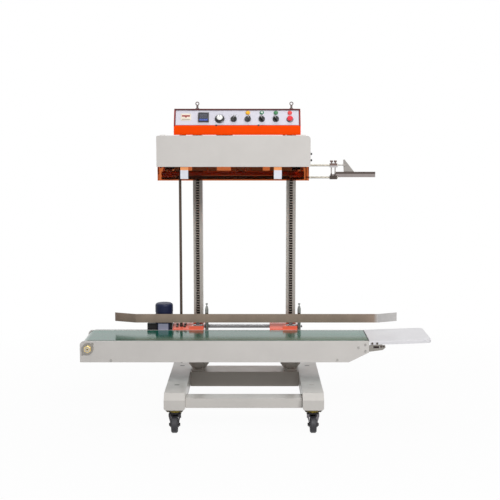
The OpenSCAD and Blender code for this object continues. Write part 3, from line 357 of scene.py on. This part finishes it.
def caster_material():
    """The plates are plated steel, and the dust ring below them is yellow plastic."""
    t = Tree("caster_plate")
    low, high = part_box("caster_plates")
    height = t.axis(2, low.z, high.z)
    plate = linear(84, 80, 78) + (1,)
    tone = t.ramp(height, [(0.0, linear(214, 186, 20) + (1,)), (0.47, plate)])
    shine = t.ramp(height, [(0.0, (0, 0, 0, 1)), (0.47, (0.9, 0.9, 0.9, 1))])
    grime = t.spread(t.noise(45.0, 4.0), 0.0, 0.35)
    t.link(t.mix(grime, tone, shade(plate, 0.5)), t.bsdf.inputs["Base Color"])
    t.link(shine, t.bsdf.inputs["Metallic"])
    t.link(t.spread(t.noise(60.0, 3.0), 0.34, 0.5), t.bsdf.inputs["Roughness"])
    return t.mat


def amber_sheet():
    """Tinted acrylic. Lamps pass through it, so the mechanism behind is lit."""
    t = Tree("amber_acrylic")
    tint = linear(186, 98, 52) + (1,)
    dim = linear(66, 34, 22) + (1,)
    t.set(Base_Color=tint, Roughness=0.04, IOR=1.12, Transmission_Weight=1.0)
    t.bump(t.noise(14.0, 3.0), 0.05, 0.0004)
    out = t.nt.nodes["Material Output"]
    clear = t.node("BsdfTransparent", Color=dim)
    shadow = t.node("LightPath").outputs["Is Shadow Ray"]
    mixed = t.nt.nodes.new("ShaderNodeMixShader")
    t.link(shadow, mixed.inputs[0])
    t.link(t.bsdf.outputs[0], mixed.inputs[1])
    t.link(clear.outputs[0], mixed.inputs[2])
    t.link(mixed.outputs[0], out.inputs["Surface"])
    return t.mat


belt_green = belt_material()
MATERIALS = {
    grey_paint: (
        "guard_cover", "head_frame", "side_frame_front", "side_frame_back",
    ),
    stand_paint: ("leg_left", "leg_right", "front_beam"),
    shaded_beam_paint: ("column_beam",),
    column_paint: ("columns",),
    orange_paint: ("control_box",),
    bracket_paint: ("carriage_brackets",),
    white_paint: ("tray",),
    motor_paint: ("motor",),
    black_paint: ("chain_cover", "gear_housing"),
    panel_film(): ("control_panel",),
    black_plastic: ("temp_controller", "cover_knobs"),
    knob_black: ("speed_dial", "selector_1", "selector_2", "selector_3", "selector_4"),
    red_gloss: ("stop_button",),
    lamp_material(): ("indicator_lamps",),
    amber_sheet(): ("shield",),
    band_material(): ("seal_belts",),
    rubber: ("guide_belts", "head_drive_belt"),
    brass: ("seal_blocks",),
    steel: (
        "drive_spindle_front", "drive_spindle_rear", "idle_spindle_front",
        "idle_spindle_rear", "slider_bed", "tail_roller", "drive_roller",
    ),
    eye_steel: ("lifting_eyes",),
    chrome: ("rail_posts",),
    shaft_steel: ("lift_shaft",),
    rod_steel: ("infeed_rods",),
    # The guide rail's tones are painted reflection: brown along most of its length, darker at the
    # left end and light on the right flare.
    banded("rail_steel_painted_reflection", "guide_rail", 0, [
        (0.0, (122, 107, 96)), (0.1, (152, 135, 121)), (0.915, (152, 135, 121)),
        (0.93, (198, 196, 194)),
    ]): ("guide_rail",),
    stainless: ("end_brackets",),
    # The infeed guide's tones are painted reflection and shade: a dark band low down, between
    # lighter bands above and below.
    banded("guide_steel_painted_reflection", "infeed_guide", 2, [
        (0.0, (142, 134, 132)), (0.17, (142, 134, 132)), (0.2, (84, 76, 72)), (0.3, (84, 76, 72)),
        (0.33, (150, 146, 142)),
    ]): ("infeed_guide",),
    dark_steel: ("drive_chain", "gearbox_sprocket"),
    head_dark: ("head_base",),
    rack_material(): ("racks",),
    post_steel: ("drive_post",),
    # The infeed clamp's tones are painted reflection and shade: dark at the bottom, light in the
    # middle and darker again at the top.
    banded("clamp_metal_painted_reflection", "infeed_clamp", 2, [
        (0.0, (70, 64, 60)), (0.3, (70, 64, 60)), (0.34, (176, 170, 164)), (0.7, (172, 170, 172)),
        (0.76, (112, 94, 90)),
    ], rough=0.4): ("infeed_clamp",),
    caster_material(): ("caster_plates",),
    zinc: ("caster_fork_fl", "caster_fork_fr", "caster_fork_rl", "caster_fork_rr"),
    tyre: ("caster_wheel_fl", "caster_wheel_fr", "caster_wheel_rl", "caster_wheel_rr"),
    belt_green: ("conveyor_belt",),
}
for material, names in MATERIALS.items():
    for name in names:
        mesh = nodes[name].data
        mesh.materials.clear()
        mesh.materials.append(material)

# Sheet and cast parts get a small round along their edges, in millimetres
EDGES = {
    "leg_left": 1.6, "leg_right": 1.6, "front_beam": 1.6, "column_beam": 1.6,
    "guard_cover": 0.8, "control_box": 0.7, "control_panel": 0.4, "tray": 0.7,
    "side_frame_front": 0.7, "side_frame_back": 0.7, "gear_housing": 1.6, "columns": 0.9,
    "carriage_brackets": 0.6, "temp_controller": 0.6, "infeed_clamp": 0.8, "infeed_guide": 0.4,
    "chain_cover": 0.8, "head_frame": 0.5,
}
for name, width in EDGES.items():
    part = nodes[name]
    weld = part.modifiers.new("Weld", "WELD")
    weld.merge_threshold = 1e-5
    merge = part.modifiers.new("Flat", "DECIMATE")
    merge.decimate_type = "DISSOLVE"
    merge.angle_limit = math.radians(0.5)
    bevel = part.modifiers.new("Bevel", "BEVEL")
    bevel.width = width * MM
    bevel.segments = 2
    bevel.limit_method = "ANGLE"
    bevel.angle_limit = math.radians(40)
    bevel.use_clamp_overlap = True
    bevel.harden_normals = False

# ------------------------------------------------------------- mesh pieces


def piece(name, body, material, frame_matrix, build, bevel=0.0, smooth=True):
    """A mesh made by build(bm) in millimetres, put in place and joined to a body."""
    mesh = bpy.data.meshes.new(name)
    bm = bmesh.new()
    build(bm)
    bmesh.ops.scale(bm, vec=(MM, MM, MM), verts=bm.verts)
    bmesh.ops.recalc_face_normals(bm, faces=bm.faces)
    bm.to_mesh(mesh)
    bm.free()
    mesh.materials.append(material)
    obj = bpy.data.objects.new(name, mesh)
    bpy.context.scene.collection.objects.link(obj)
    obj.matrix_world = frame_matrix
    if bevel:
        mod = obj.modifiers.new("Bevel", "BEVEL")
        mod.width = bevel * MM
        mod.segments = 3
        mod.limit_method = "ANGLE"
        mod.angle_limit = math.radians(35)
    if smooth:
        for face in mesh.polygons:
            face.use_smooth = True
        mesh.set_sharp_from_angle(angle=math.radians(35))
    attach(obj, body)
    return obj


def block(bm, low, high):
    """A box from its low to its high corner."""
    size = [h - v for v, h in zip(low, high)]
    middle = [(h + v) / 2 for v, h in zip(low, high)]
    made = bmesh.ops.create_cube(bm, size=1.0)["verts"]
    bmesh.ops.scale(bm, vec=size, verts=made)
    bmesh.ops.translate(bm, vec=middle, verts=made)


def lathe(bm, profile, steps=40, centre=(0.0, 0.0), phase=0.0):
    """Turns (radius, height) points about Z. A closed skin: its ends lie on the axis."""
    rings = []
    for r, h in profile:
        if r < 1e-6:
            rings.append([bm.verts.new((centre[0], centre[1], h))])
            continue
        ring = []
        for k in range(steps):
            a = 2 * math.pi * (k + phase) / steps
            ring.append(bm.verts.new((centre[0] + r * math.cos(a), centre[1] + r * math.sin(a), h)))
        rings.append(ring)
    for a, b in zip(rings, rings[1:]):
        for k in range(steps):
            j = (k + 1) % steps
            if len(a) == 1:
                bm.faces.new((a[0], b[k], b[j]))
            elif len(b) == 1:
                bm.faces.new((a[k], a[j], b[0]))
            else:
                bm.faces.new((a[k], a[j], b[j], b[k]))


def hex_head(bm, across, height, centre=(0.0, 0.0), base=0.0):
    """A hexagon head, chamfered round its top."""
    r = across / math.sqrt(3)
    lathe(
        bm,
        [(0, base), (r, base), (r, base + height * 0.82), (r * 0.86, base + height),
         (0, base + height)],
        6, centre, 0.5,
    )


def pan_head(bm, r, height, centre=(0.0, 0.0), base=0.0):
    """A round screw head with a hollow in its top."""
    lathe(
        bm,
        [(0, base), (r, base), (r, base + height * 0.35), (r * 0.75, base + height * 0.85),
         (r * 0.42, base + height), (r * 0.36, base + height * 0.55), (0, base + height * 0.55)],
        28, centre,
    )


# --------------------------------------------------------- control panel

panel = panel_frame(0, 0)
PANEL_LEFT, PANEL_RIGHT = -317 + 6.3, 255.5 - 6.5
PANEL_LOW, PANEL_HIGH = 5.0, 86.0
CONTROL_PITCH = 63.5
DIAL_X = -110.0
KNOB_X = [DIAL_X + CONTROL_PITCH * k for k in (1, 2, 3, 4)]
LAMP_X = [x + CONTROL_PITCH for x in KNOB_X]
BUTTON_X = LAMP_X[3]
CONTROLLER_X, CONTROLLER_LOW = -183.0, 21
CONTROL_ROW, DIAL_ROW, LAMP_ROW = 37, 38.5, 69.5
KNOB_BASE = -1.7


def rim_top(bm):
    """The dark strip along the box's upper edge: painted shade on the orange lip over the panel."""
    block(bm, (-316.6, 82.6, 0.0), (255.1, 90.6, 0.6))


# The red strips down the panel's sides: painted shade on the box's side edges.
def rim_sides(bm):
    block(bm, (-316.6, 1.2, 0.0), (PANEL_LEFT, 82.6, 0.5))
    block(bm, (PANEL_RIGHT, 1.2, 0.0), (255.1, 82.6, 0.5))


piece("panel_rim", "stand", rim_shade_dark, panel, rim_top, bevel=0.15)
piece("panel_rim_sides", "stand", rim_shade_red, panel, rim_sides, bevel=0.15)


def film_shade_lines(bm):
    """The dark line along the film's bottom and sides: painted shade where the film sits below the
    box's edges.
    """
    z0, z1 = -2.0, -1.75
    w = 1.6
    block(bm, (PANEL_LEFT, PANEL_LOW, z0), (PANEL_RIGHT, PANEL_LOW + 2.6, z1))
    block(bm, (PANEL_LEFT, PANEL_LOW, z0), (PANEL_LEFT + w, PANEL_HIGH, z1))
    block(bm, (PANEL_RIGHT - w, PANEL_LOW, z0), (PANEL_RIGHT, PANEL_HIGH, z1))


piece("film_shade_lines", "stand", mark_and_shade_dark, panel, film_shade_lines)


def name_plate(bm):
    block(bm, (-286.5, 30, -2.0), (-239.5, 66, -0.8))


piece("name_plate", "stand", cream, panel, name_plate, bevel=0.5)


def name_plate_bar(bm):
    block(bm, (-281, 50, -0.9), (-245, 58, -0.5))
    block(bm, (-266, 45, -0.9), (-260, 51, -0.5))


piece("name_plate_bar", "stand", plate_red, panel, name_plate_bar, bevel=0.3)


def name_plate_line(bm):
    block(bm, (-281, 34, -0.9), (-245, 38, -0.55))
    for x in (-284, -242):
        for y in (32.6, 63.4):
            pan_head(bm, 1.1, 0.9, (x, y), -0.9)


piece("name_plate_line", "stand", plate_grey, panel, name_plate_line)


def controller_screen(bm):
    low, high = CONTROLLER_LOW + 17, CONTROLLER_LOW + 43.5
    block(bm, (CONTROLLER_X - 19.5, low, 3.3), (CONTROLLER_X + 19.5, high, 4.3))


piece(
    "controller_screen", "stand", screen_dark, panel, controller_screen, bevel=0.4,
)


def controller_digits(bm):
    """Unlit seven-segment figures, all eights, in two rows."""
    for y, h in ((52.0, 9.0), (41.0, 7.0)):
        for k in range(4):
            x = CONTROLLER_X - 14.5 + k * 7.6
            w = h * 0.5
            for dy in (0.0, h / 2 - 0.35, h - 0.7):
                block(bm, (x + 0.7, y + dy, 4.25), (x + w - 0.7, y + dy + 0.7, 4.42))
            for dx in (0.0, w - 0.7):
                for dy in (0.8, h / 2 + 0.45):
                    block(bm, (x + dx, y + dy, 4.25), (x + dx + 0.7, y + dy + h / 2 - 1.3, 4.42))


piece(
    "controller_digits", "stand", plastic("digit_off", linear(104, 104, 116), 0.3), panel,
    controller_digits,
)


def controller_keys(bm):
    low, high = CONTROLLER_LOW + 4.5, CONTROLLER_LOW + 15.5
    block(bm, (CONTROLLER_X - 19.5, low, 3.3), (CONTROLLER_X + 19.5, high, 4.1))


piece(
    "controller_key_strip", "stand", screen_blue, panel, controller_keys, bevel=0.3,
)


def key_caps(bm):
    for k in range(4):
        x = CONTROLLER_X - 17 + k * 9.0
        block(bm, (x, 27.5, 4.0), (x + 7, 34, 4.9))


piece(
    "controller_keys", "stand", plastic("key_cap", linear(70, 92, 168), 0.35), panel, key_caps,
    bevel=0.7,
)


def dial_ticks(bm):
    """Scale marks round the dial and the first knob."""
    for cx, cy, r0, r1, count, spread in (
        (DIAL_X, DIAL_ROW, 24.5, 29.0, 11, 270), (KNOB_X[0], CONTROL_ROW, 24.0, 30.0, 5, 100),
    ):
        for k in range(count):
            a = math.radians(90 - spread / 2 + spread * k / (count - 1))
            along = Vector((math.cos(a), math.sin(a), 0))
            across = Vector((-along.y, along.x, 0)) * 0.75
            corners = []
            for z in (-2.0, -1.8):
                for r, side in ((r0, -1), (r1, -1), (r1, 1), (r0, 1)):
                    v = Vector((cx, cy, z)) + along * r + across * side
                    corners.append(bm.verts.new(v))
            low, high = corners[:4], corners[4:]
            bm.faces.new(low)
            bm.faces.new(high)
            for i in range(4):
                j = (i + 1) % 4
                bm.faces.new((low[i], low[j], high[j], high[i]))


piece("scale_marks", "stand", tick_grey, panel, dial_ticks, smooth=False)


def second_lamp_ring(bm):
    """The second lamp has a green ring round its pale lens."""
    lathe(
        bm,
        [(5.0, 5.2), (7.5, 4.4), (9.8, 2.0), (9.9, 2.6), (8.0, 5.0), (5.2, 6.0), (5.0, 5.2)], 40,
        (LAMP_X[1], LAMP_ROW),
    )


piece(
    "ringed_lamp", "stand", plastic("ring_green", linear(0, 120, 82), 0.25, coat=0.4), panel,
    second_lamp_ring,
)


def button_collar(bm):
    lathe(
        bm,
        [(13.2, 0.3), (14.0, 0.3), (15.4, -0.6), (15.8, -2.1), (13.2, -2.1), (13.2, 0.3)], 48,
        (BUTTON_X, CONTROL_ROW),
    )


piece("button_collar", "stand", black_plastic, panel, button_collar)


def cap(bm):
    lathe(
        bm,
        [(0, 16.9), (9.5, 16.9), (12.2, 16.4), (13.6, 14.9), (15.2, 6.4), (15.0, 5.6), (14.2, 5.6),
         (13.0, 14.0), (0, 14.2)], 64,
    )


dial_place = panel_frame(DIAL_X, DIAL_ROW, KNOB_BASE)
piece("dial_cap", "speed_dial", white_gloss, dial_place, cap)


def dial_grip(bm):
    """Fluted black skirt under the white cap."""
    steps = 96
    rows = [(21.9, 0.2), (22.1, 1.2), (21.6, 2.9), (17.2, 4.9)]
    rings = []
    for r, h in rows:
        ring = []
        for k in range(steps):
            flute = 0.35 if k % 4 < 2 else -0.25
            a = 2 * math.pi * k / steps
            q = r + (flute if h < 4 else 0)
            ring.append(bm.verts.new((q * math.cos(a), q * math.sin(a), h)))
        rings.append(ring)
    for a, b in zip(rings, rings[1:]):
        for k in range(steps):
            j = (k + 1) % steps
            bm.faces.new((a[k], a[j], b[j], b[k]))
    bm.faces.new(rings[0])
    bm.faces.new(rings[-1])


piece("dial_skirt", "speed_dial", knob_black, dial_place, dial_grip)


def dial_mark(bm):
    block(bm, (-0.7, 3.0, 16.8), (0.7, 11.5, 17.1))


piece("dial_mark", "speed_dial", mark_and_shade_dark, dial_place, dial_mark)

# A pale line on each selector's grip, pointing as the grip is turned
for k, turn in enumerate((-20, -40, 40, 40)):
    place = panel_frame(KNOB_X[k], CONTROL_ROW, KNOB_BASE)
    place = place @ Matrix.Rotation(math.radians(turn), 4, "Z")

    def pointer(bm):
        block(bm, (-0.9, 1.5, 16.9), (0.9, 12.4, 17.3))
        block(bm, (-0.9, 12.2, 9.0), (0.9, 13.3, 17.3))

    piece(
        f"selector_mark_{k + 1}", f"selector_{k + 1}", white_gloss, place, pointer, bevel=0.2,
    )


def panel_clips(bm):
    """Small dark catches on the panel's lower edge."""
    for x in (-125, 66):
        block(bm, (x - 4, 0.6, 0.0), (x + 4, 7.5, 2.2))
        pan_head(bm, 2.0, 1.6, (x, 4.2), 2.2)


piece("panel_clips", "stand", dark_steel, panel, panel_clips, bevel=0.4)


for side, x in ((1, 255.5), (-1, -317)):
    place = Matrix.Translation(at(x, 0, 0)) @ Matrix(
        ((0, 0, side, 0), (side, 0, 0, 0), (0, 1, 0, 0), (0, 0, 0, 1))
    )

    def end_screws(bm, side=side):
        for y, z in ((-76, 1328), (84, 1328), (84, 1418), (-30, 1418)):
            pan_head(bm, 3.2, 1.8, (side * y, z))

    name = "box_screws_right" if side > 0 else "box_screws_left"
    piece(name, "stand", steel, place, end_screws)

stand_place = Matrix.Translation(at(0, 0, 0))


def packers(bm):
    """Dark blocks between the head's top plate and the control box."""
    for x0, x1 in ((-282, -265), (-218, -194), (-125, -52), (175, 188), (197, 216)):
        block(bm, (x0, -86, 1306), (x1, -60, 1314))
        for x in (x0 + 4, x1 - 4):
            lathe(bm, [(0, 1306), (2.4, 1306), (2.4, 1312), (0, 1312)], 16, (x, -89))


piece("box_packers", "stand", black_paint, stand_place, packers, bevel=0.6)


def adjusters(bm):
    """Chromed adjusting screws with lock nuts, under the head's base plate."""
    for x in (-355, -29, 6, 259):
        hex_head(bm, 13, -7, (x, -164), 1180)
        lathe(
            bm,
            [(0, 1180), (3.4, 1180), (3.4, 1163), (5.6, 1161), (6.4, 1157), (4.8, 1153.5),
             (0, 1152.5)],
            24, (x, -164),
        )


piece("head_adjusters", "stand", steel, stand_place, adjusters)

# -------------------------------------------------------- guard and shield

shield_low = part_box("shield")[0]
shield_face = facing(Vector((MIDDLE_X, shield_low.y, 0)), (0, -1, 0))
for k, x in enumerate((-282, 133)):

    def plate(bm, x=x):
        block(bm, (x, 1121, 0.0), (x + 35, 1160, 0.5))

    def band(bm, x=x):
        block(bm, (x, 1160, 0.0), (x + 35, 1173.5, 0.5))

    name = f"shield_plate_{k + 1}"
    piece(name, "guard", sticker, shield_face, plate, bevel=0.12)
    name = f"shield_plate_band_{k + 1}"
    piece(name, "guard", sticker_orange, shield_face, band, bevel=0.12)

# ------------------------------------------------------- stand's leg slots

LEG_TOP, LEG_X = 177, 308
SHADE_PLUG_LOW, SHADE_PLUG_HIGH, SHADE_PLUG_R, SHADE_PLUG_HALF = LEG_TOP - 3.5, LEG_TOP - 0.4, 5.6, 6


def slot_shade_plugs(bm):
    """Black plugs in three of the four slots: painted shade, standing for the dark inside those
    slots. The right leg's front slot is open.
    """
    for x, y in ((-LEG_X, -161), (-LEG_X, 204), (LEG_X, 204)):
        for side in (-SHADE_PLUG_HALF, SHADE_PLUG_HALF):
            profile = [(0, SHADE_PLUG_LOW), (SHADE_PLUG_R, SHADE_PLUG_LOW), (SHADE_PLUG_R, SHADE_PLUG_HIGH), (0, SHADE_PLUG_HIGH)]
            lathe(bm, profile, 24, (x + side, y))
        block(bm, (x - SHADE_PLUG_HALF, y - SHADE_PLUG_R, SHADE_PLUG_LOW), (x + SHADE_PLUG_HALF, y + SHADE_PLUG_R, SHADE_PLUG_HIGH))


piece("slot_shade_plugs", "stand", black_plastic, stand_place, slot_shade_plugs)

# ------------------------------------------------------------ conveyor trim

front_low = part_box("side_frame_front")[0]
frame_face = facing(Vector((MIDDLE_X, front_low.y, 0)), (0, -1, 0))


def frame_screws(bm):
    for x, z in ((-598, 308), (420, 310), (515, 367), (546, 380), (546, 351)):
        hex_head(bm, 9.5, 4.2, (x, z))


piece("frame_screws", "carriage", steel, frame_face, frame_screws)


def bracket_screws(bm):
    for x, z in ((576, 386), (598, 386), (616, 371), (627, 372.5)):
        hex_head(bm, 8.5, 4.5, (x, z), 0.0)


piece("end_bracket_screws", "carriage", dark_steel, frame_face, bracket_screws)


def takeup_block(bm):
    """The tail roller's take-up block, seen in the bracket's slot."""
    block(bm, (580.6, 364.0, -2.6), (607.4, 373.0, -1.0))
    hex_head(bm, 7, 3.0, (594, 368.5), -1.1)


piece("takeup_block", "carriage", head_dark, frame_face, takeup_block, bevel=0.3)

belt_low, belt_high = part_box("conveyor_belt")
belt_front, belt_back = belt_low.y / MM, belt_high.y / MM


def belt_end_shade(bm):
    """A black strip between the belt's end and the tray: painted shade for the dark gap there."""
    block(bm, (558.6, belt_front, 380), (563.6, belt_back, 397.5))


def nose_sheet(bm):
    """A thin sheet that carries the belt's flat top over the tail roller."""
    block(bm, (540, belt_front, 397.05), (558.7, belt_back, 397.4))


piece("belt_end_shade", "carriage", rubber, stand_place, belt_end_shade, bevel=0.3)
piece("nose_sheet", "carriage", belt_green, stand_place, nose_sheet)

roller_low, roller_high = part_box("drive_roller")
roller_x = (roller_low.x + roller_high.x) / 2
roller_z = (roller_low.z + roller_high.z) / 2
nut_place = facing(Vector((roller_x, front_low.y - 0.007, roller_z)), (0, -1, 0))


def shaft_nut(bm):
    hex_head(bm, 30, 9.5)


piece("bearing_nut", "drive_roller", brass, nut_place, shaft_nut)


def shaft_end(bm):
    lathe(
        bm,
        [(0, 9.2), (6.4, 9.2), (6.4, 10.6), (5.6, 11.2), (2.2, 11.2), (1.6, 10.2), (0, 10.2)], 32,
    )


piece("bearing_shaft_end", "drive_roller", brass, nut_place, shaft_end)


# A black disc at the shaft end's centre: painted shade for the hole there.
def shaft_hole_shade(bm):
    lathe(bm, [(0, 10.1), (3.6, 10.1), (3.6, 11.3), (0, 11.3)], 24)


piece(
    "bearing_hole_shade", "drive_roller", black_plastic, nut_place, shaft_hole_shade,
)

SLOPE = math.atan2(16.5, 48)
slope_place = Matrix.Translation(at(0, 18, 400)) @ Matrix.Rotation(SLOPE, 4, "X")


def bracket_bolts(bm):
    """Bolts that hold the gear housing's arm, on the bracket's sloping hood."""
    for x, y in ((-319, 22), (-284, 22), (-319, 42), (-281, 42)):
        hex_head(bm, 11, 6, (x, y), 0)


piece("bracket_bolts", "carriage", dark_steel, slope_place, bracket_bolts)

terminal_place = facing(Vector((MIDDLE_X, 0.020, 0)), (0, -1, 0))


def terminal_cover(bm):
    block(bm, (-408, 386, 0.0), (-360, 426, 1.6))


piece(
    "terminal_cover", "carriage", lavender, terminal_place, terminal_cover, bevel=1.0,
)


def motor_ears(bm):
    for a in (45, 135, 225, 315):
        x = -383 + 44 * math.cos(math.radians(a))
        y = 69 + 44 * math.sin(math.radians(a))
        lathe(bm, [(0, 424), (7, 424), (7, 437), (5.5, 438.5), (0, 438.5)], 24, (x, y))


piece("motor_lugs", "carriage", motor_paint, stand_place, motor_ears)

# ---------------------------------------------------- floor, light, camera


def white_rays(t):
    """1 for camera, glossy and transmission rays, and 0 for the rest."""
    path = t.nt.nodes.new("ShaderNodeLightPath")
    seen = t.node("Math", Value=path.outputs["Is Camera Ray"])
    seen.operation = "MAXIMUM"
    t.link(path.outputs["Is Glossy Ray"], seen.inputs[1])
    both = t.node("Math", Value=seen.outputs[0])
    both.operation = "MAXIMUM"
    t.link(path.outputs["Is Transmission Ray"], both.inputs[1])
    return both.outputs[0]


floor_tree = Tree("floor_pale")
floor_tree.set(Base_Color=(0.62, 0.62, 0.62, 1), Roughness=0.9)
floor_tree.bsdf.inputs["Specular IOR Level"].default_value = 0.0
glow = floor_tree.node("Emission", Color=(1, 1, 1, 1), Strength=1.0)
seen = white_rays(floor_tree)
away = floor_tree.node("VectorMath", Vector=floor_tree.place)
away.operation = "LENGTH"
share = floor_tree.node("Math", Value=seen)
share.operation = "MULTIPLY"
floor_tree.link(floor_tree.spread(away.outputs["Value"], 0.965, 1.0, 0.8, 2.4), share.inputs[1])
floor_mix = floor_tree.nt.nodes.new("ShaderNodeMixShader")
floor_tree.link(share.outputs[0], floor_mix.inputs[0])
floor_tree.link(floor_tree.bsdf.outputs[0], floor_mix.inputs[1])
floor_tree.link(glow.outputs[0], floor_mix.inputs[2])
floor_tree.link(floor_mix.outputs[0], floor_tree.nt.nodes["Material Output"].inputs["Surface"])

floor_mesh = bpy.data.meshes.new("floor")
half = 30.0
floor_mesh.from_pydata(
    [(-half, -half, 0), (half, -half, 0), (half, half, 0), (-half, half, 0)], [], [(0, 1, 2, 3)]
)
floor_mesh.materials.append(floor_tree.mat)
floor = bpy.data.objects.new("floor", floor_mesh)
bpy.context.scene.collection.objects.link(floor)

world = bpy.data.worlds.new("studio")
bpy.context.scene.world = world
world.use_nodes = True
wt = world.node_tree
background = wt.nodes["Background"]
path = wt.nodes.new("ShaderNodeLightPath")
most = path.outputs["Is Camera Ray"]
for name in ("Is Glossy Ray", "Is Transmission Ray"):
    step = wt.nodes.new("ShaderNodeMath")
    step.operation = "MAXIMUM"
    wt.links.new(most, step.inputs[0])
    wt.links.new(path.outputs[name], step.inputs[1])
    most = step.outputs[0]
level = wt.nodes.new("ShaderNodeMapRange")
wt.links.new(most, level.inputs["Value"])
level.inputs["To Min"].default_value = 0.2
level.inputs["To Max"].default_value = 1.0
wt.links.new(level.outputs[0], background.inputs["Strength"])
background.inputs["Color"].default_value = (1, 1, 1, 1)


def area(name, where, target, width, height, power):
    lamp = bpy.data.lights.new(name, "AREA")
    lamp.shape = "RECTANGLE"
    lamp.size, lamp.size_y = width, height
    lamp.energy = power
    obj = bpy.data.objects.new(name, lamp)
    bpy.context.scene.collection.objects.link(obj)
    obj.location = where
    aim = Vector(target) - Vector(where)
    obj.rotation_euler = aim.to_track_quat("-Z", "Y").to_euler()
    return obj


area("key_softbox", (1.7, -4.3, 3.6), (0, 0, 0.8), 2.4, 1.8, 188)
area("top_softbox", (0.0, 0.2, 4.2), (0, 0, 0.6), 2.6, 2.0, 48)
area("low_fill", (-1.2, -5.0, 1.0), (0, 0, 0.7), 2.4, 1.4, 8)

camera_data = bpy.data.cameras.new("camera")
camera_data.lens = 72.0
camera_data.sensor_width = 36.0
camera_data.shift_x = -0.004
camera = bpy.data.objects.new("camera", camera_data)
bpy.context.scene.collection.objects.link(camera)
camera.location = at(36, -4630, 1372)
camera.rotation_euler = (math.radians(90 - 7.294), 0, 0)
bpy.context.scene.camera = camera

view_settings = bpy.context.scene.view_settings
view_settings.view_transform = "Standard"
